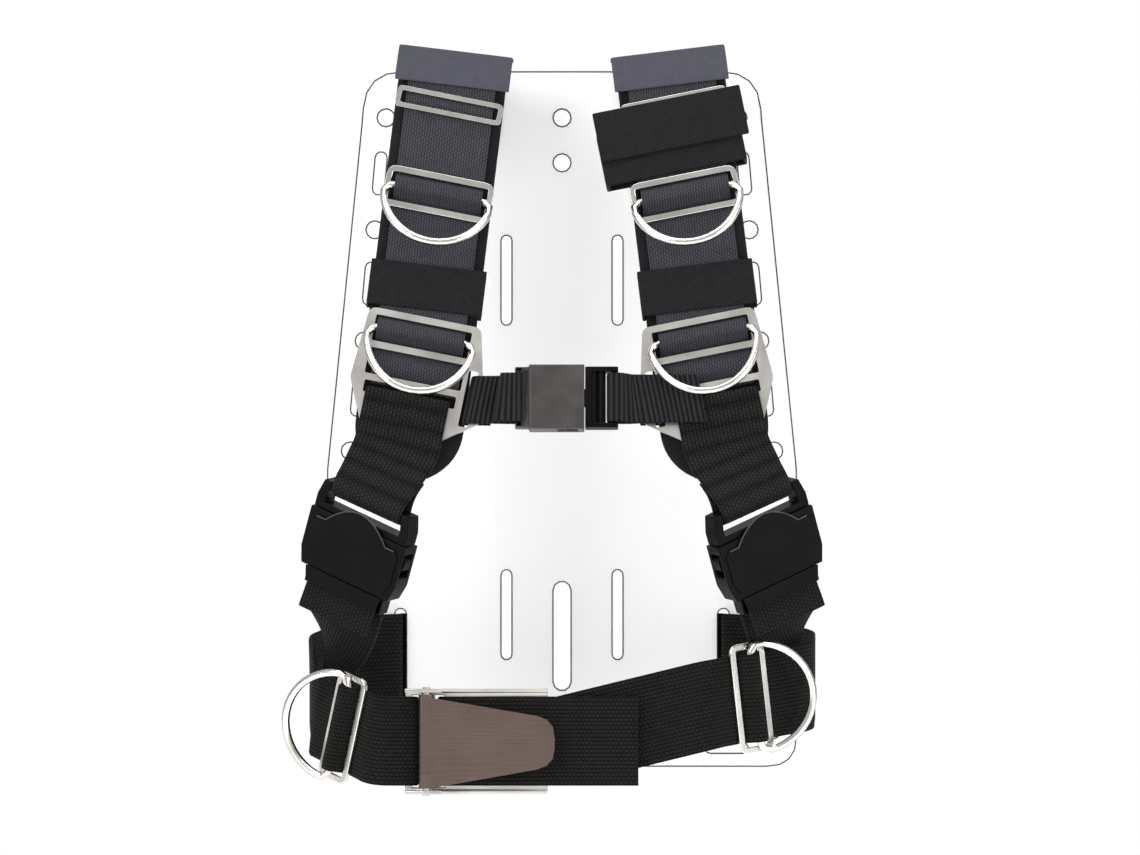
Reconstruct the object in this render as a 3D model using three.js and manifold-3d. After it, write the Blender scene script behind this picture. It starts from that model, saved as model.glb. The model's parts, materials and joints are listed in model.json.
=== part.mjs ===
// Diving harness on a flat back plate, in millimetres.
// +Z is up, the wearer's chest side faces -Y, and the origin is the centre of the plate's back face.
// "left" is -X and "right" is +X, as seen by someone facing the chest side.

import * as THREE from "three";
import { mergeVertices } from "three/addons/utils/BufferGeometryUtils.js";
import Module from "manifold-3d";

const wasm = await Module();
wasm.setup();

const degrees = THREE.MathUtils.degToRad;
const vector = (x, y, z) => new THREE.Vector3(x, y, z);

// ---------------------------------------------------------------- shared sizes

const CLEARANCE = 0.3; // between pieces that touch on the real harness
const WEBBING = { width: 50, thick: 2.4 };
const CHEST_WEBBING = { width: 28, thick: 1.8 };

const PLATE = {
  thick: 3,
  top: 200,
  bottom: -200,
  topHalf: 115,
  shoulderZ: 172,
  waistZ: -29,
  waistHalf: 135,
  topCorner: 23,
  bottomCorner: 17,
};

const SHOULDER = {
  centreX: -85.2, // strap centre line at the height of the origin
  lean: degrees(6.9), // the straps close in towards the neck
  slotZ: 160,
  tailEndZ: 92,
  tailY: 4.5,
  rootY: -7.5,
  crestZ: 208,
  archRearRadius: 30,
  archFrontRadius: 22,
  pitch: degrees(12), // the front run leans out over the chest
  frontY: -144.5, // front run at the height of the origin
};

const SKEW = degrees(4.5); // bars of the shoulder hardware against the strap

// Heights up the front run of a shoulder strap, measured along the strap.
const UP = {
  sleeveEnd: 194,
  upperSlide: 182,
  upperRing: 130,
  elastic: [63, 89],
  trianglePlate: 37.6,
  webbingEnd: 16,
  padEnd: -34,
};

const PAD = { width: 62, thick: 8, end: 30 };
const FRAME_PLATE = { thick: 2.2, bar: 3.8 };
const RING_ROD = 2.25;
const HANG = degrees(20); // the rings rest over the lower bar of their frames

const COLOURS = {
  plate: { color: 0xf1f1ee, roughness: 0.45, metalness: 0.1 },
  webbing: { color: 0x17171a, roughness: 0.85, metalness: 0 },
  sleeve: { color: 0x34343a, roughness: 0.9, metalness: 0 },
  pad: { color: 0x1d1d22, roughness: 0.95, metalness: 0 },
  elastic: { color: 0x222226, roughness: 0.95, metalness: 0 },
  steel: { color: 0xc9c5bf, roughness: 0.25, metalness: 1 },
  brushed: { color: 0x8d8079, roughness: 0.4, metalness: 1 },
  acetal: { color: 0x232021, roughness: 0.5, metalness: 0 },
};

const materials = Object.fromEntries(
  Object.entries(COLOURS).map(([name, look]) => [name, new THREE.MeshStandardMaterial({ name, ...look })]),
);

// ---------------------------------------------------------------- solid helpers

function manifoldOf(geometry) {
  const bare = geometry.clone();
  bare.deleteAttribute("normal");
  bare.deleteAttribute("uv");
  const merged = mergeVertices(bare, 1e-4);
  return new wasm.Manifold(
    new wasm.Mesh({
      numProp: 3,
      vertProperties: new Float32Array(merged.attributes.position.array),
      triVerts: new Uint32Array(merged.index.array),
    }),
  );
}

function geometryOf(solid) {
  const mesh = solid.getMesh();
  const geometry = new THREE.BufferGeometry();
  geometry.setAttribute("position", new THREE.BufferAttribute(new Float32Array(mesh.vertProperties), 3));
  geometry.setIndex(new THREE.BufferAttribute(new Uint32Array(mesh.triVerts), 1));
  return geometry;
}

function carve(body, cutters) {
  const left = cutters.map(manifoldOf).reduce((solid, cutter) => solid.subtract(cutter), manifoldOf(body));
  return geometryOf(left);
}

function join(...pieces) {
  return geometryOf(pieces.map(manifoldOf).reduce((sum, piece) => sum.add(piece)));
}

function box(min, max) {
  const geometry = new THREE.BoxGeometry(max[0] - min[0], max[1] - min[1], max[2] - min[2]);
  return geometry.translate((min[0] + max[0]) / 2, (min[1] + max[1]) / 2, (min[2] + max[2]) / 2);
}

function cylinder(radius, length, axis, centre, sides = 16) {
  const geometry = new THREE.CylinderGeometry(radius, radius, length, sides);
  if (axis === "x") geometry.rotateZ(Math.PI / 2);
  if (axis === "z") geometry.rotateX(Math.PI / 2);
  return geometry.translate(...centre);
}

// A closed outline through corners [x, y, radius].
function roundedOutline(corners, path = new THREE.Shape(), sides = 3) {
  const points = corners.map(([x, y]) => new THREE.Vector2(x, y));
  const outline = [];
  corners.forEach(([, , radius], i) => {
    const corner = points[i];
    const back = points.at(i - 1).clone().sub(corner).normalize();
    const ahead = points[(i + 1) % points.length].clone().sub(corner).normalize();
    const angle = Math.acos(THREE.MathUtils.clamp(back.dot(ahead), -1, 1));
    const reach = radius / Math.tan(angle / 2);
    const start = corner.clone().addScaledVector(back, reach);
    const end = corner.clone().addScaledVector(ahead, reach);
    for (let k = 0; k <= sides; k += 1) {
      const t = k / sides;
      const a = start.clone().lerp(corner, t);
      const b = corner.clone().lerp(end, t);
      outline.push(a.lerp(b, t));
    }
  });
  return path.setFromPoints(outline);
}

function roundPath(x, z, radius, sides = 12) {
  const points = [];
  for (let k = 0; k < sides; k += 1) {
    const angle = (Math.PI * 2 * k) / sides;
    points.push(new THREE.Vector2(x + radius * Math.cos(angle), z + radius * Math.sin(angle)));
  }
  return new THREE.Path().setFromPoints(points);
}

function slotPath(x, z, width, length, lean = 0, sides = 5) {
  const path = new THREE.Path();
  const half = length / 2 - width / 2;
  const points = [];
  for (const end of [1, -1]) {
    for (let k = 0; k <= sides; k += 1) {
      const angle = (Math.PI * k) / sides + (end > 0 ? 0 : Math.PI);
      const across = (width / 2) * Math.cos(angle);
      points.push(new THREE.Vector2(across, end * half + (width / 2) * Math.sin(angle)));
    }
  }
  for (const point of points) {
    point.rotateAround(new THREE.Vector2(), lean);
    point.add(new THREE.Vector2(x, z));
  }
  return path.setFromPoints(points);
}

// A flat plate drawn in x and z, with its front face at y and its thickness going back from there.
function flatPlate(shape, frontY, thick) {
  const geometry = new THREE.ExtrudeGeometry(shape, { depth: thick, bevelEnabled: false, curveSegments: 10 });
  geometry.rotateX(Math.PI / 2);
  return geometry.translate(0, frontY + thick, 0);
}

// ---------------------------------------------------------------- webbing helpers

// Points along a strap: straight runs joined by arcs. Each corner is { at, radius }.
function strapRoute(corners) {
  const points = [];
  corners.forEach(({ at, radius = 0 }, i) => {
    if (i === 0 || i === corners.length - 1 || radius === 0) {
      points.push(at.clone());
      return;
    }
    const back = corners[i - 1].at.clone().sub(at).normalize();
    const ahead = corners[i + 1].at.clone().sub(at).normalize();
    const angle = back.angleTo(ahead);
    const bisector = back.clone().add(ahead).normalize();
    const centre = at.clone().addScaledVector(bisector, radius / Math.sin(angle / 2));
    const from = at.clone().addScaledVector(back, radius / Math.tan(angle / 2)).sub(centre);
    const to = at.clone().addScaledVector(ahead, radius / Math.tan(angle / 2)).sub(centre);
    const turn = from.angleTo(to);
    const steps = Math.max(2, Math.ceil(turn / degrees(11)));
    for (let k = 0; k <= steps; k += 1) {
      const t = k / steps;
      const spoke = from.clone().multiplyScalar(Math.sin((1 - t) * turn));
      spoke.addScaledVector(to, Math.sin(t * turn)).divideScalar(Math.sin(turn));
      points.push(centre.clone().add(spoke));
    }
  });
  return points;
}

// Splits long steps so that each is shorter than stepAt(distance along the route).
function refine(points, stepAt) {
  const refined = [points[0].clone()];
  let travelled = 0;
  for (let i = 1; i < points.length; i += 1) {
    const length = points[i].distanceTo(points[i - 1]);
    const count = Math.max(1, Math.ceil(length / stepAt(travelled, travelled + length)));
    for (let k = 1; k <= count; k += 1) {
      refined.push(points[i - 1].clone().lerp(points[i], k / count));
    }
    travelled += length;
  }
  return refined;
}

// Frames with the tangent, the direction across the webbing and the normal of its outer face.
// A sheared strip keeps its across direction even where that isn't square to its run.
function strapFrames(points, acrossAt, sheared = false) {
  let travelled = 0;
  return points.map((point, i) => {
    if (i > 0) travelled += point.distanceTo(points[i - 1]);
    const before = points[Math.max(0, i - 1)];
    const after = points[Math.min(points.length - 1, i + 1)];
    const tangent = after.clone().sub(before).normalize();
    const across = acrossAt(travelled, point).clone();
    if (!sheared) across.addScaledVector(tangent, -across.dot(tangent)).normalize();
    const normal = tangent.clone().cross(across).normalize();
    return { point, tangent, across, normal, travelled };
  });
}

// A flat strip of webbing bent along its frames.
// lift(frame) moves it outwards, widthAt(frame) narrows it and shearAt(frame) slants its rows.
function strip(frames, width, thick, shaping = {}) {
  const { lift = () => 0, widthAt = () => 1, shearAt = () => 0, offset = 0 } = shaping;
  const steps = frames.length - 1;
  const geometry = new THREE.BoxGeometry(width, thick, 1, 1, 1, steps);
  const position = geometry.attributes.position;
  const place = new THREE.Vector3();
  for (let i = 0; i < position.count; i += 1) {
    const frame = frames[Math.round((position.getZ(i) + 0.5) * steps)];
    const x = position.getX(i) * widthAt(frame);
    const out = position.getY(i) + offset + lift(frame);
    place.copy(frame.point).addScaledVector(frame.across, x).addScaledVector(frame.normal, out);
    if (frame.tangent) place.addScaledVector(frame.tangent, x * shearAt(frame));
    position.setXYZ(i, place.x, place.y, place.z);
  }
  return geometry;
}

// A bulge over a bar: full height within flat of its middle, nothing beyond reach.
function ridge(distance, { rise, flat, reach }) {
  const t = THREE.MathUtils.clamp((Math.abs(distance) - flat) / (reach - flat), 0, 1);
  return rise * (1 - t * t * (3 - 2 * t));
}

// ---------------------------------------------------------------- back plate

const SHOULDER_SLOT = { width: 7, length: 56 };
const WAIST_SLOT = { x: 93, z: -137, width: 7, length: 56 };

function plateHoles() {
  const holes = [];
  const round = (x, z, radius) => holes.push(roundPath(x, z, radius));
  const EDGE_LEAN = degrees(5);
  for (const z of [173.5, 147.6]) round(0, z, 5.2);
  holes.push(slotPath(0, -125, 10.4, 63));
  for (const side of [-1, 1]) {
    holes.push(slotPath(side * 32, 80, 6.3, 52));
    holes.push(slotPath(side * 32, -112.7, 6.3, 52));
    for (const [x, z] of [[101.4, 173.5], [107.8, 109], [114, 45], [122, -18.4], [121, -179.3]]) {
      round(side * x, z, 5.2);
    }
    for (const [x, z] of [[105, 141.5], [110.7, 78], [117.6, 14]]) {
      holes.push(slotPath(side * x, z, 7, 25, side * EDGE_LEAN));
    }
    holes.push(slotPath(side * 94.8, -189.5, 6.3, 25, Math.PI / 2));
    holes.push(slotPath(side * WAIST_SLOT.x, WAIST_SLOT.z, WAIST_SLOT.width, WAIST_SLOT.length));
    const across = Math.PI / 2 + side * SHOULDER.lean;
    const x = side * (Math.abs(SHOULDER.centreX) - SHOULDER.slotZ * Math.tan(SHOULDER.lean));
    holes.push(slotPath(x, SHOULDER.slotZ, SHOULDER_SLOT.width, SHOULDER_SLOT.length, across));
  }
  return holes;
}

function backPlate() {
  const { top, bottom, topHalf, shoulderZ, waistZ, waistHalf, topCorner, bottomCorner } = PLATE;
  const rightSide = [
    [topHalf - 2, top, topCorner],
    [topHalf, shoulderZ, 10],
    [waistHalf, waistZ, 30],
    [waistHalf, bottom, bottomCorner],
  ];
  const leftSide = rightSide.map(([x, z, radius]) => [-x, z, radius]).reverse();
  const shape = roundedOutline([...rightSide, ...leftSide], new THREE.Shape(), 4);
  shape.holes = plateHoles();
  return flatPlate(shape, -PLATE.thick, PLATE.thick);
}

// ---------------------------------------------------------------- shoulder strap

// The shoulder is drawn at the left, in a frame whose z runs up the strap and whose x points to the neck.
function shoulderFrame() {
  const frame = new THREE.Group();
  frame.position.set(SHOULDER.centreX, 0, 0);
  frame.rotation.y = SHOULDER.lean;
  return frame;
}

// The front run is flat: here y is 0 in the middle of the webbing and z runs up along it.
function frontFrame() {
  const frame = new THREE.Group();
  frame.position.set(0, SHOULDER.frontY, 0);
  frame.rotation.x = -SHOULDER.pitch;
  return frame;
}

const slotRise = SHOULDER.slotZ / Math.cos(SHOULDER.lean);

function frontPoint(up) {
  return vector(
    0,
    SHOULDER.frontY + up * Math.sin(SHOULDER.pitch),
    up * Math.cos(SHOULDER.pitch),
  );
}

function shoulderCorners(endUp) {
  const crestY = SHOULDER.frontY + SHOULDER.crestZ * Math.tan(SHOULDER.pitch);
  return [
    { at: vector(0, SHOULDER.tailY, SHOULDER.tailEndZ) },
    { at: vector(0, SHOULDER.tailY, slotRise), radius: 4 },
    { at: vector(0, SHOULDER.rootY, slotRise), radius: 4 },
    { at: vector(0, SHOULDER.rootY, SHOULDER.crestZ), radius: SHOULDER.archRearRadius },
    { at: vector(0, crestY, SHOULDER.crestZ), radius: SHOULDER.archFrontRadius },
    { at: frontPoint(endUp) },
  ];
}

function lengthOf(points) {
  return points.slice(1).reduce((sum, point, i) => sum + point.distanceTo(points[i]), 0);
}

// Heights of the hardware's middles over the middle of the webbing that it lies on.
const FRAME_LIFT = WEBBING.thick / 2 + CLEARANCE + FRAME_PLATE.thick / 2;
const RING_CENTRE = FRAME_LIFT + FRAME_PLATE.thick / 2 + CLEARANCE + RING_ROD;
const OVER_RING = RING_CENTRE + RING_ROD + 1.5 * CLEARANCE + WEBBING.thick / 2;

const FRAMED_RING = { pitch: 20, width: 62 };
const TRIANGLE = { pitch: 19 };

// How the webbing rises over a slide's bar, and over a frame's bar with a ring's rod on it.
const OVER_SLIDE = { rise: 1.5, flat: 0.5, reach: 3.6 };
const OVER_FRAME = { rise: OVER_RING, flat: 1.6, reach: 8.2 };

// Where the webbing bulges through the hardware, by distance up the front run.
const BULGES = [
  { up: UP.upperSlide, ...OVER_SLIDE },
  { up: UP.upperRing, ...OVER_FRAME },
  { up: UP.trianglePlate + TRIANGLE.pitch / 2, rise: OVER_RING, flat: 1.6, reach: 7.6 },
  { up: UP.trianglePlate - TRIANGLE.pitch / 2, rise: 4.5, flat: 2, reach: 7.8 },
];
const TAIL_BULGE = { from: 22, ...OVER_SLIDE };

function shoulderWebbing() {
  const route = strapRoute(shoulderCorners(UP.webbingEnd));
  const total = lengthOf(route);
  const along = (up) => total - (up - UP.webbingEnd);
  const bulges = [
    ...BULGES.map((bulge) => ({ ...bulge, at: along(bulge.up) })),
    { ...TAIL_BULGE, at: TAIL_BULGE.from },
  ];
  // The front run and the tail are straight, so they are first split finely and then bulged.
  const fine = refine(refine(route, () => 12), (from, to) => {
    const near = bulges.some(({ at, reach }) => to > at - reach - 3 && from < at + reach + 3);
    return near ? 1.6 : 12;
  });
  const frames = strapFrames(fine, () => vector(1, 0, 0));
  const lift = (frame) => bulges.reduce((sum, bulge) => sum + ridge(frame.travelled - bulge.at, bulge), 0);
  const shearAt = (frame) => {
    const up = UP.webbingEnd + total - frame.travelled;
    return Math.tan(SKEW) * (1 - THREE.MathUtils.smoothstep(up, 193, 222));
  };
  return strip(frames, WEBBING.width, WEBBING.thick, { lift, shearAt });
}

// Frames of the shoulder route that lie in front of startY, down to endUp.
function alongShoulder(startY, endUp, step) {
  const points = refine(strapRoute(shoulderCorners(endUp)), () => step);
  const frames = strapFrames(points, () => vector(1, 0, 0));
  return frames.filter(({ point }) => point.y < startY);
}

function shoulderPad() {
  const frames = alongShoulder(-22, UP.padEnd, 6);
  const total = frames.at(-1).travelled;
  const widthAt = (frame) => {
    const left = total - frame.travelled;
    const t = THREE.MathUtils.clamp(1 - left / PAD.end, 0, 1);
    return Math.max(0.34, Math.sqrt(1 - t * t * 0.92));
  };
  const offset = -(WEBBING.thick / 2 + CLEARANCE + PAD.thick / 2);
  return strip(frames, PAD.width, PAD.thick, { offset, widthAt });
}

function shoulderSleeve() {
  const THICK = 1.2;
  const frames = alongShoulder(-34, UP.sleeveEnd, 5);
  return strip(frames, PAD.width + 3, THICK, { offset: WEBBING.thick / 2 + CLEARANCE + THICK / 2 });
}

// A band wrapped round the pad and the webbing: a rectangular tube.
function wrapBand(inside, from, to, thick) {
  const outer = box([inside.x0 - thick, inside.y0 - thick, from], [inside.x1 + thick, inside.y1 + thick, to]);
  const inner = box([inside.x0, inside.y0, from - 1], [inside.x1, inside.y1, to + 1]);
  return carve(outer, [inner]);
}

const STACK_BACK = WEBBING.thick / 2 + CLEARANCE + PAD.thick + CLEARANCE;

function elasticBand() {
  const half = PAD.width / 2 + 0.5;
  const inside = { x0: -half, x1: half, y0: -(WEBBING.thick / 2 + CLEARANCE), y1: STACK_BACK };
  return wrapBand(inside, UP.elastic[0], UP.elastic[1], 1.2);
}

function windowPath([x0, z0, x1, z1]) {
  const ROUND = 1;
  const corners = [[x0, z0, ROUND], [x1, z0, ROUND], [x1, z1, ROUND], [x0, z1, ROUND]];
  return roundedOutline(corners, new THREE.Path(), 2);
}

// A flat stamped frame: an outer rectangle with windows, its middle at the origin.
function slideFrame(width, height, windows, thick, corner) {
  const shape = roundedOutline([
    [width / 2, height / 2, corner],
    [width / 2, -height / 2, corner],
    [-width / 2, -height / 2, corner],
    [-width / 2, height / 2, corner],
  ]);
  shape.holes = windows.map(windowPath);
  return flatPlate(shape, -thick / 2, thick);
}

function upperSlide() {
  const WIDTH = 61;
  const HEIGHT = 12.5;
  const BAR = 2.7;
  const half = WIDTH / 2 - BAR;
  const window = HEIGHT / 2 - BAR;
  return slideFrame(WIDTH, HEIGHT, [[-half, -window, half, window]], FRAME_PLATE.thick, 3.5);
}

function ringFrame() {
  const half = FRAMED_RING.width / 2 - 3.5;
  const height = FRAMED_RING.pitch + FRAME_PLATE.bar;
  const window = FRAMED_RING.pitch / 2 - FRAME_PLATE.bar / 2;
  return slideFrame(FRAMED_RING.width, height, [[-half, -window, half, window]], FRAME_PLATE.thick, 6);
}

const CHEST_SLOT = { inner: 30, outer: 35.5 };

// The stainless plate where the shoulder, chest and lower straps meet. Its middle bar is at the origin.
function trianglePlate() {
  const half = 27.5;
  const bar = FRAME_PLATE.bar / 2;
  const shape = roundedOutline([
    [32, TRIANGLE.pitch + bar, 5],
    [38, -5, 6],
    [42, -33, 4],
    [16, -52, 5],
    [-23, -48, 5],
    [-35, -21, 8],
    [-32, TRIANGLE.pitch + bar, 5],
  ]);
  const windows = [
    [-half, bar, half, TRIANGLE.pitch - bar],
    [-half, -TRIANGLE.pitch + bar, half, -bar],
    [-half + 1, -TRIANGLE.pitch - bar - 7, 26, -TRIANGLE.pitch - bar],
    [CHEST_SLOT.inner, -37, CHEST_SLOT.outer, -4],
  ];
  shape.holes = windows.map(windowPath);
  return flatPlate(shape, -FRAME_PLATE.thick / 2, FRAME_PLATE.thick);
}

// A D-ring bent from round rod: straight side along x at the origin, bow hanging to -z.
function dRing(halfWidth, depth, rod = RING_ROD) {
  const points = [-0.78, -0.3, 0.3, 0.78].map((share) => vector(share * halfWidth, 0, 0));
  points.push(vector(halfWidth * 0.96, 0, -2.6));
  const STEPS = 12;
  for (let k = 1; k < STEPS; k += 1) {
    const angle = (Math.PI * k) / STEPS;
    points.push(vector(halfWidth * Math.cos(angle), 0, -depth * Math.sin(angle)));
  }
  points.push(vector(-halfWidth * 0.96, 0, -2.6));
  const curve = new THREE.CatmullRomCurve3(points, true, "centripetal");
  return new THREE.TubeGeometry(curve, 34, rod, 6, true);
}

// ---------------------------------------------------------------- side-release buckle

// Drawn closed: z is the pulling direction, the socket is below and the plug comes from above.
// half is the half width, web the half width of the webbing slots.
// arm is the size of the sprung arms against the side buckles' own.
const QUICK = {
  half: 33,
  web: 26,
  thick: 13,
  socket: 34,
  cavity: 26,
  barEnd: 10,
  wall: 2.2,
  plug: 17,
  bar: 4.5,
  arm: 1,
};
const CHEST = {
  half: 18.5,
  web: 14.7,
  thick: 10,
  socket: 31,
  cavity: 24,
  barEnd: 8,
  wall: 1.8,
  plug: 19,
  bar: 3.6,
  arm: 0.78,
};

// Webbing turns round a bar at this distance from its middle.
const turnRound = (barHalf, thick) => barHalf + CLEARANCE + thick / 2;

function barHalves(size) {
  return { deep: size.bar * 0.5, corner: size.bar * 0.5 * Math.SQRT2 };
}

const socketBar = (size) => -size.socket - size.barEnd + size.bar / 2;
const plugBar = (size) => size.plug - size.bar / 2;

function barRelief(size, centre) {
  const { deep } = barHalves(size);
  const reach = size.bar / 2 + 1.5;
  return [-1, 1].map((side) => {
    const [low, high] = [side * deep, side * size.thick].sort((a, b) => a - b);
    return box([-size.web, low, centre - reach], [size.web, high, centre + reach]);
  });
}

function buckleSocket(size) {
  const { half, web, thick, socket, cavity, barEnd, wall, arm, bar } = size;
  const body = box([-half, -thick / 2, -socket], [half, thick / 2, 0]);
  const cheek = web + 3.5 * arm;
  const tail = box([-cheek, -thick / 3, -socket - barEnd], [cheek, thick / 3, -socket + 1]);
  const hollow = box([-half + wall, -thick / 2 + wall, -cavity], [half - wall, thick / 2 - wall, 1]);
  const sideOpenings = [-1, 1].map((side) => {
    const edges = [side * (half - wall - 1), side * (half + 1)].sort((a, b) => a - b);
    return box([edges[0], -thick / 2 + wall, -19 * arm], [edges[1], thick / 2 - wall, -5 * arm]);
  });
  const slot = box([-web, -thick, -socket - barEnd + bar], [web, thick, -socket - 0.4]);
  return carve(join(body, tail), [hollow, ...sideOpenings, slot, ...barRelief(size, socketBar(size))]);
}

function bucklePlug(size) {
  const { half, web, thick, plug, cavity, arm, bar } = size;
  const LOW = 0.4; // the seam between the closed halves
  const base = box([-half + 1, -thick * 0.42, LOW], [half - 1, thick * 0.42, plug]);
  const slot = box([-web, -thick, LOW + 3.6], [web, thick, plug - bar]);
  const tongue = box([-6 * arm, -1.8 * arm, -cavity + 2], [6 * arm, 1.8 * arm, LOW + 1]);
  return carve(join(base, tongue), [slot, ...barRelief(size, plugBar(size))]);
}

const ARM_TOP = -0.25; // the arm's root stops short of the plug's base

// One sprung arm of the plug, on the +x side, with its lug in the side opening.
function buckleArm(size) {
  const { half, thick, wall, arm, cavity } = size;
  const inner = half - wall - 8 * arm;
  const shape = roundedOutline([
    [inner, ARM_TOP, 0.5],
    [inner + 4.5 * arm, ARM_TOP, 0.5],
    [half - wall - 1.2, -6.5 * arm, 0.8],
    [half + 0.6 * arm, -8.5 * arm, 1],
    [half + 0.2 * arm, -14 * arm, 1.5],
    [half - wall - 1.6, -17.5 * arm, 1],
    [inner + 3 * arm, -cavity + 2.5, 1],
    [inner + 0.5 * arm, -cavity + 4, 1],
  ]);
  const depth = thick - 2 * wall - 2;
  return flatPlate(shape, -depth / 2, depth);
}

// ---------------------------------------------------------------- assembly

const assembly = new THREE.Group();
assembly.name = "harness";

function add(parent, name, geometry, look) {
  const mesh = new THREE.Mesh(geometry, materials[look]);
  mesh.name = name;
  parent.add(mesh);
  return mesh;
}

function placed(parent, position, turn = 0) {
  const frame = new THREE.Group();
  frame.position.set(...position);
  frame.rotation.y = turn;
  parent.add(frame);
  return frame;
}

// A frame whose x runs across a strap and whose z runs up along it.
function basisFrame(parent, origin, across, up) {
  const back = up.clone().cross(across).normalize();
  const frame = new THREE.Group();
  const matrix = new THREE.Matrix4().makeBasis(across, back, up);
  matrix.setPosition(origin);
  matrix.decompose(frame.position, frame.quaternion, frame.scale);
  parent.add(frame);
  return frame;
}

add(assembly, "back_plate", backPlate(), "plate");

// ---- lower strap: from the triangle plate through the quick-release buckle to the waist slot

const QUICK_TURN = degrees(34);

// A point of the left strap's front run, in world coordinates.
function frontToWorld(x, y, up) {
  const point = vector(x, y, up);
  point.applyAxisAngle(vector(1, 0, 0), -SHOULDER.pitch);
  point.y += SHOULDER.frontY;
  point.applyAxisAngle(vector(0, 1, 0), SHOULDER.lean);
  point.x += SHOULDER.centreX;
  return point;
}

function frontDirection(x, y, up) {
  return frontToWorld(x, y, up).sub(frontToWorld(0, 0, 0));
}

// A point p across and q up from the middle bar of the triangle plate, in the front run's frame.
function onTriangle(p, q) {
  return [
    p * Math.cos(SKEW) + q * Math.sin(SKEW),
    -FRAME_LIFT,
    UP.trianglePlate - p * Math.sin(SKEW) + q * Math.cos(SKEW),
  ];
}

const DROP = {
  bar: { top: -28, bottom: -50 },
  end: vector(-107, -161, -46),
};
const barAcross = frontDirection(Math.cos(SKEW), 0, -Math.sin(SKEW)).normalize();
const quickUp = vector(0.25, -0.3, 0.92).normalize();
const quickAcross = (() => {
  const flat = vector(1, 0, 0).addScaledVector(quickUp, -quickUp.x).normalize();
  return flat.applyAxisAngle(quickUp, -QUICK_TURN);
})();

// A loop of webbing round two bars, as one strip whose ends meet behind.
function webbingLoop(mid, halves, across, turns = 8) {
  const spine = strapFrames(mid, (travelled) => across(travelled / lengthOf(mid)));
  const frames = [];
  const push = (frame, along, out) => {
    const point = frame.point.clone().addScaledVector(frame.tangent, along);
    point.addScaledVector(frame.normal, out);
    frames.push({ point, across: frame.across });
  };
  const count = spine.length;
  const middle = Math.floor(count / 2);
  for (let i = middle; i >= 1; i -= 1) push(spine[i], 0, -halves[i]);
  for (let k = 0; k <= turns; k += 1) {
    const angle = -Math.PI / 2 - (Math.PI * k) / turns;
    push(spine[0], halves[0] * Math.cos(angle), halves[0] * Math.sin(angle));
  }
  for (let i = 1; i < count - 1; i += 1) push(spine[i], 0, halves[i]);
  for (let k = 0; k <= turns; k += 1) {
    const angle = Math.PI / 2 - (Math.PI * k) / turns;
    push(spine[count - 1], halves[count - 1] * Math.cos(angle), halves[count - 1] * Math.sin(angle));
  }
  for (let i = count - 2; i > middle; i -= 1) push(spine[i], 0, -halves[i]);
  return frames.map((frame, i) => {
    const before = frames[Math.max(0, i - 1)].point;
    const after = frames[Math.min(frames.length - 1, i + 1)].point;
    const tangent = after.clone().sub(before).normalize();
    const flat = frame.across.clone().addScaledVector(tangent, -frame.across.dot(tangent)).normalize();
    return { point: frame.point, across: flat, normal: tangent.clone().cross(flat), tangent };
  });
}

function dropWebbing() {
  const { top, bottom } = DROP.bar;
  const barTop = frontToWorld(...onTriangle(-1, top));
  const barLow = frontToWorld(...onTriangle(-1, bottom));
  const plugEnd = DROP.end;
  const mid = [];
  const halves = [];
  const atPlate = FRAME_PLATE.thick / 2 + 1.5 * CLEARANCE + WEBBING.thick / 2;
  const sewn = WEBBING.thick / 2 + CLEARANCE;
  const atBar = turnRound(barHalves(QUICK).corner, WEBBING.thick) + CLEARANCE / 2;
  const curve = new THREE.CubicBezierCurve3(
    barLow,
    barLow.clone().addScaledVector(barLow.clone().sub(barTop).normalize(), 14),
    plugEnd.clone().addScaledVector(quickUp, 16),
    plugEnd,
  );
  mid.push(barTop, barTop.clone().lerp(barLow, 0.5));
  halves.push(atPlate, atPlate);
  const STEPS = 10;
  for (let k = 0; k <= STEPS; k += 1) {
    const t = k / STEPS;
    mid.push(curve.getPoint(t));
    const lowEnd = THREE.MathUtils.smoothstep(t, 0.62, 1);
    const highEnd = 1 - THREE.MathUtils.smoothstep(t, 0, 0.3);
    halves.push(sewn + (atPlate - sewn) * highEnd + (atBar - sewn) * lowEnd);
  }
  const across = (share) =>
    barAcross.clone().lerp(quickAcross, THREE.MathUtils.smoothstep(share, 0.35, 1)).normalize();
  const frames = webbingLoop(mid, halves, across);
  return strip(frames, WEBBING.width - 2, WEBBING.thick);
}

const quickOrigin = DROP.end.clone().addScaledVector(quickUp, -plugBar(QUICK));
const LOWER_ROOT = vector(-136.4, -80, -166); // on the inside of the waist belt
const LOWER_LEAVES = 26; // how straight the strap runs into the socket's bar
const LOWER_TAIL = [[5.3, 0], [10.7, 2], [16, 2]]; // [down, out] of the free end's control points

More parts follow.
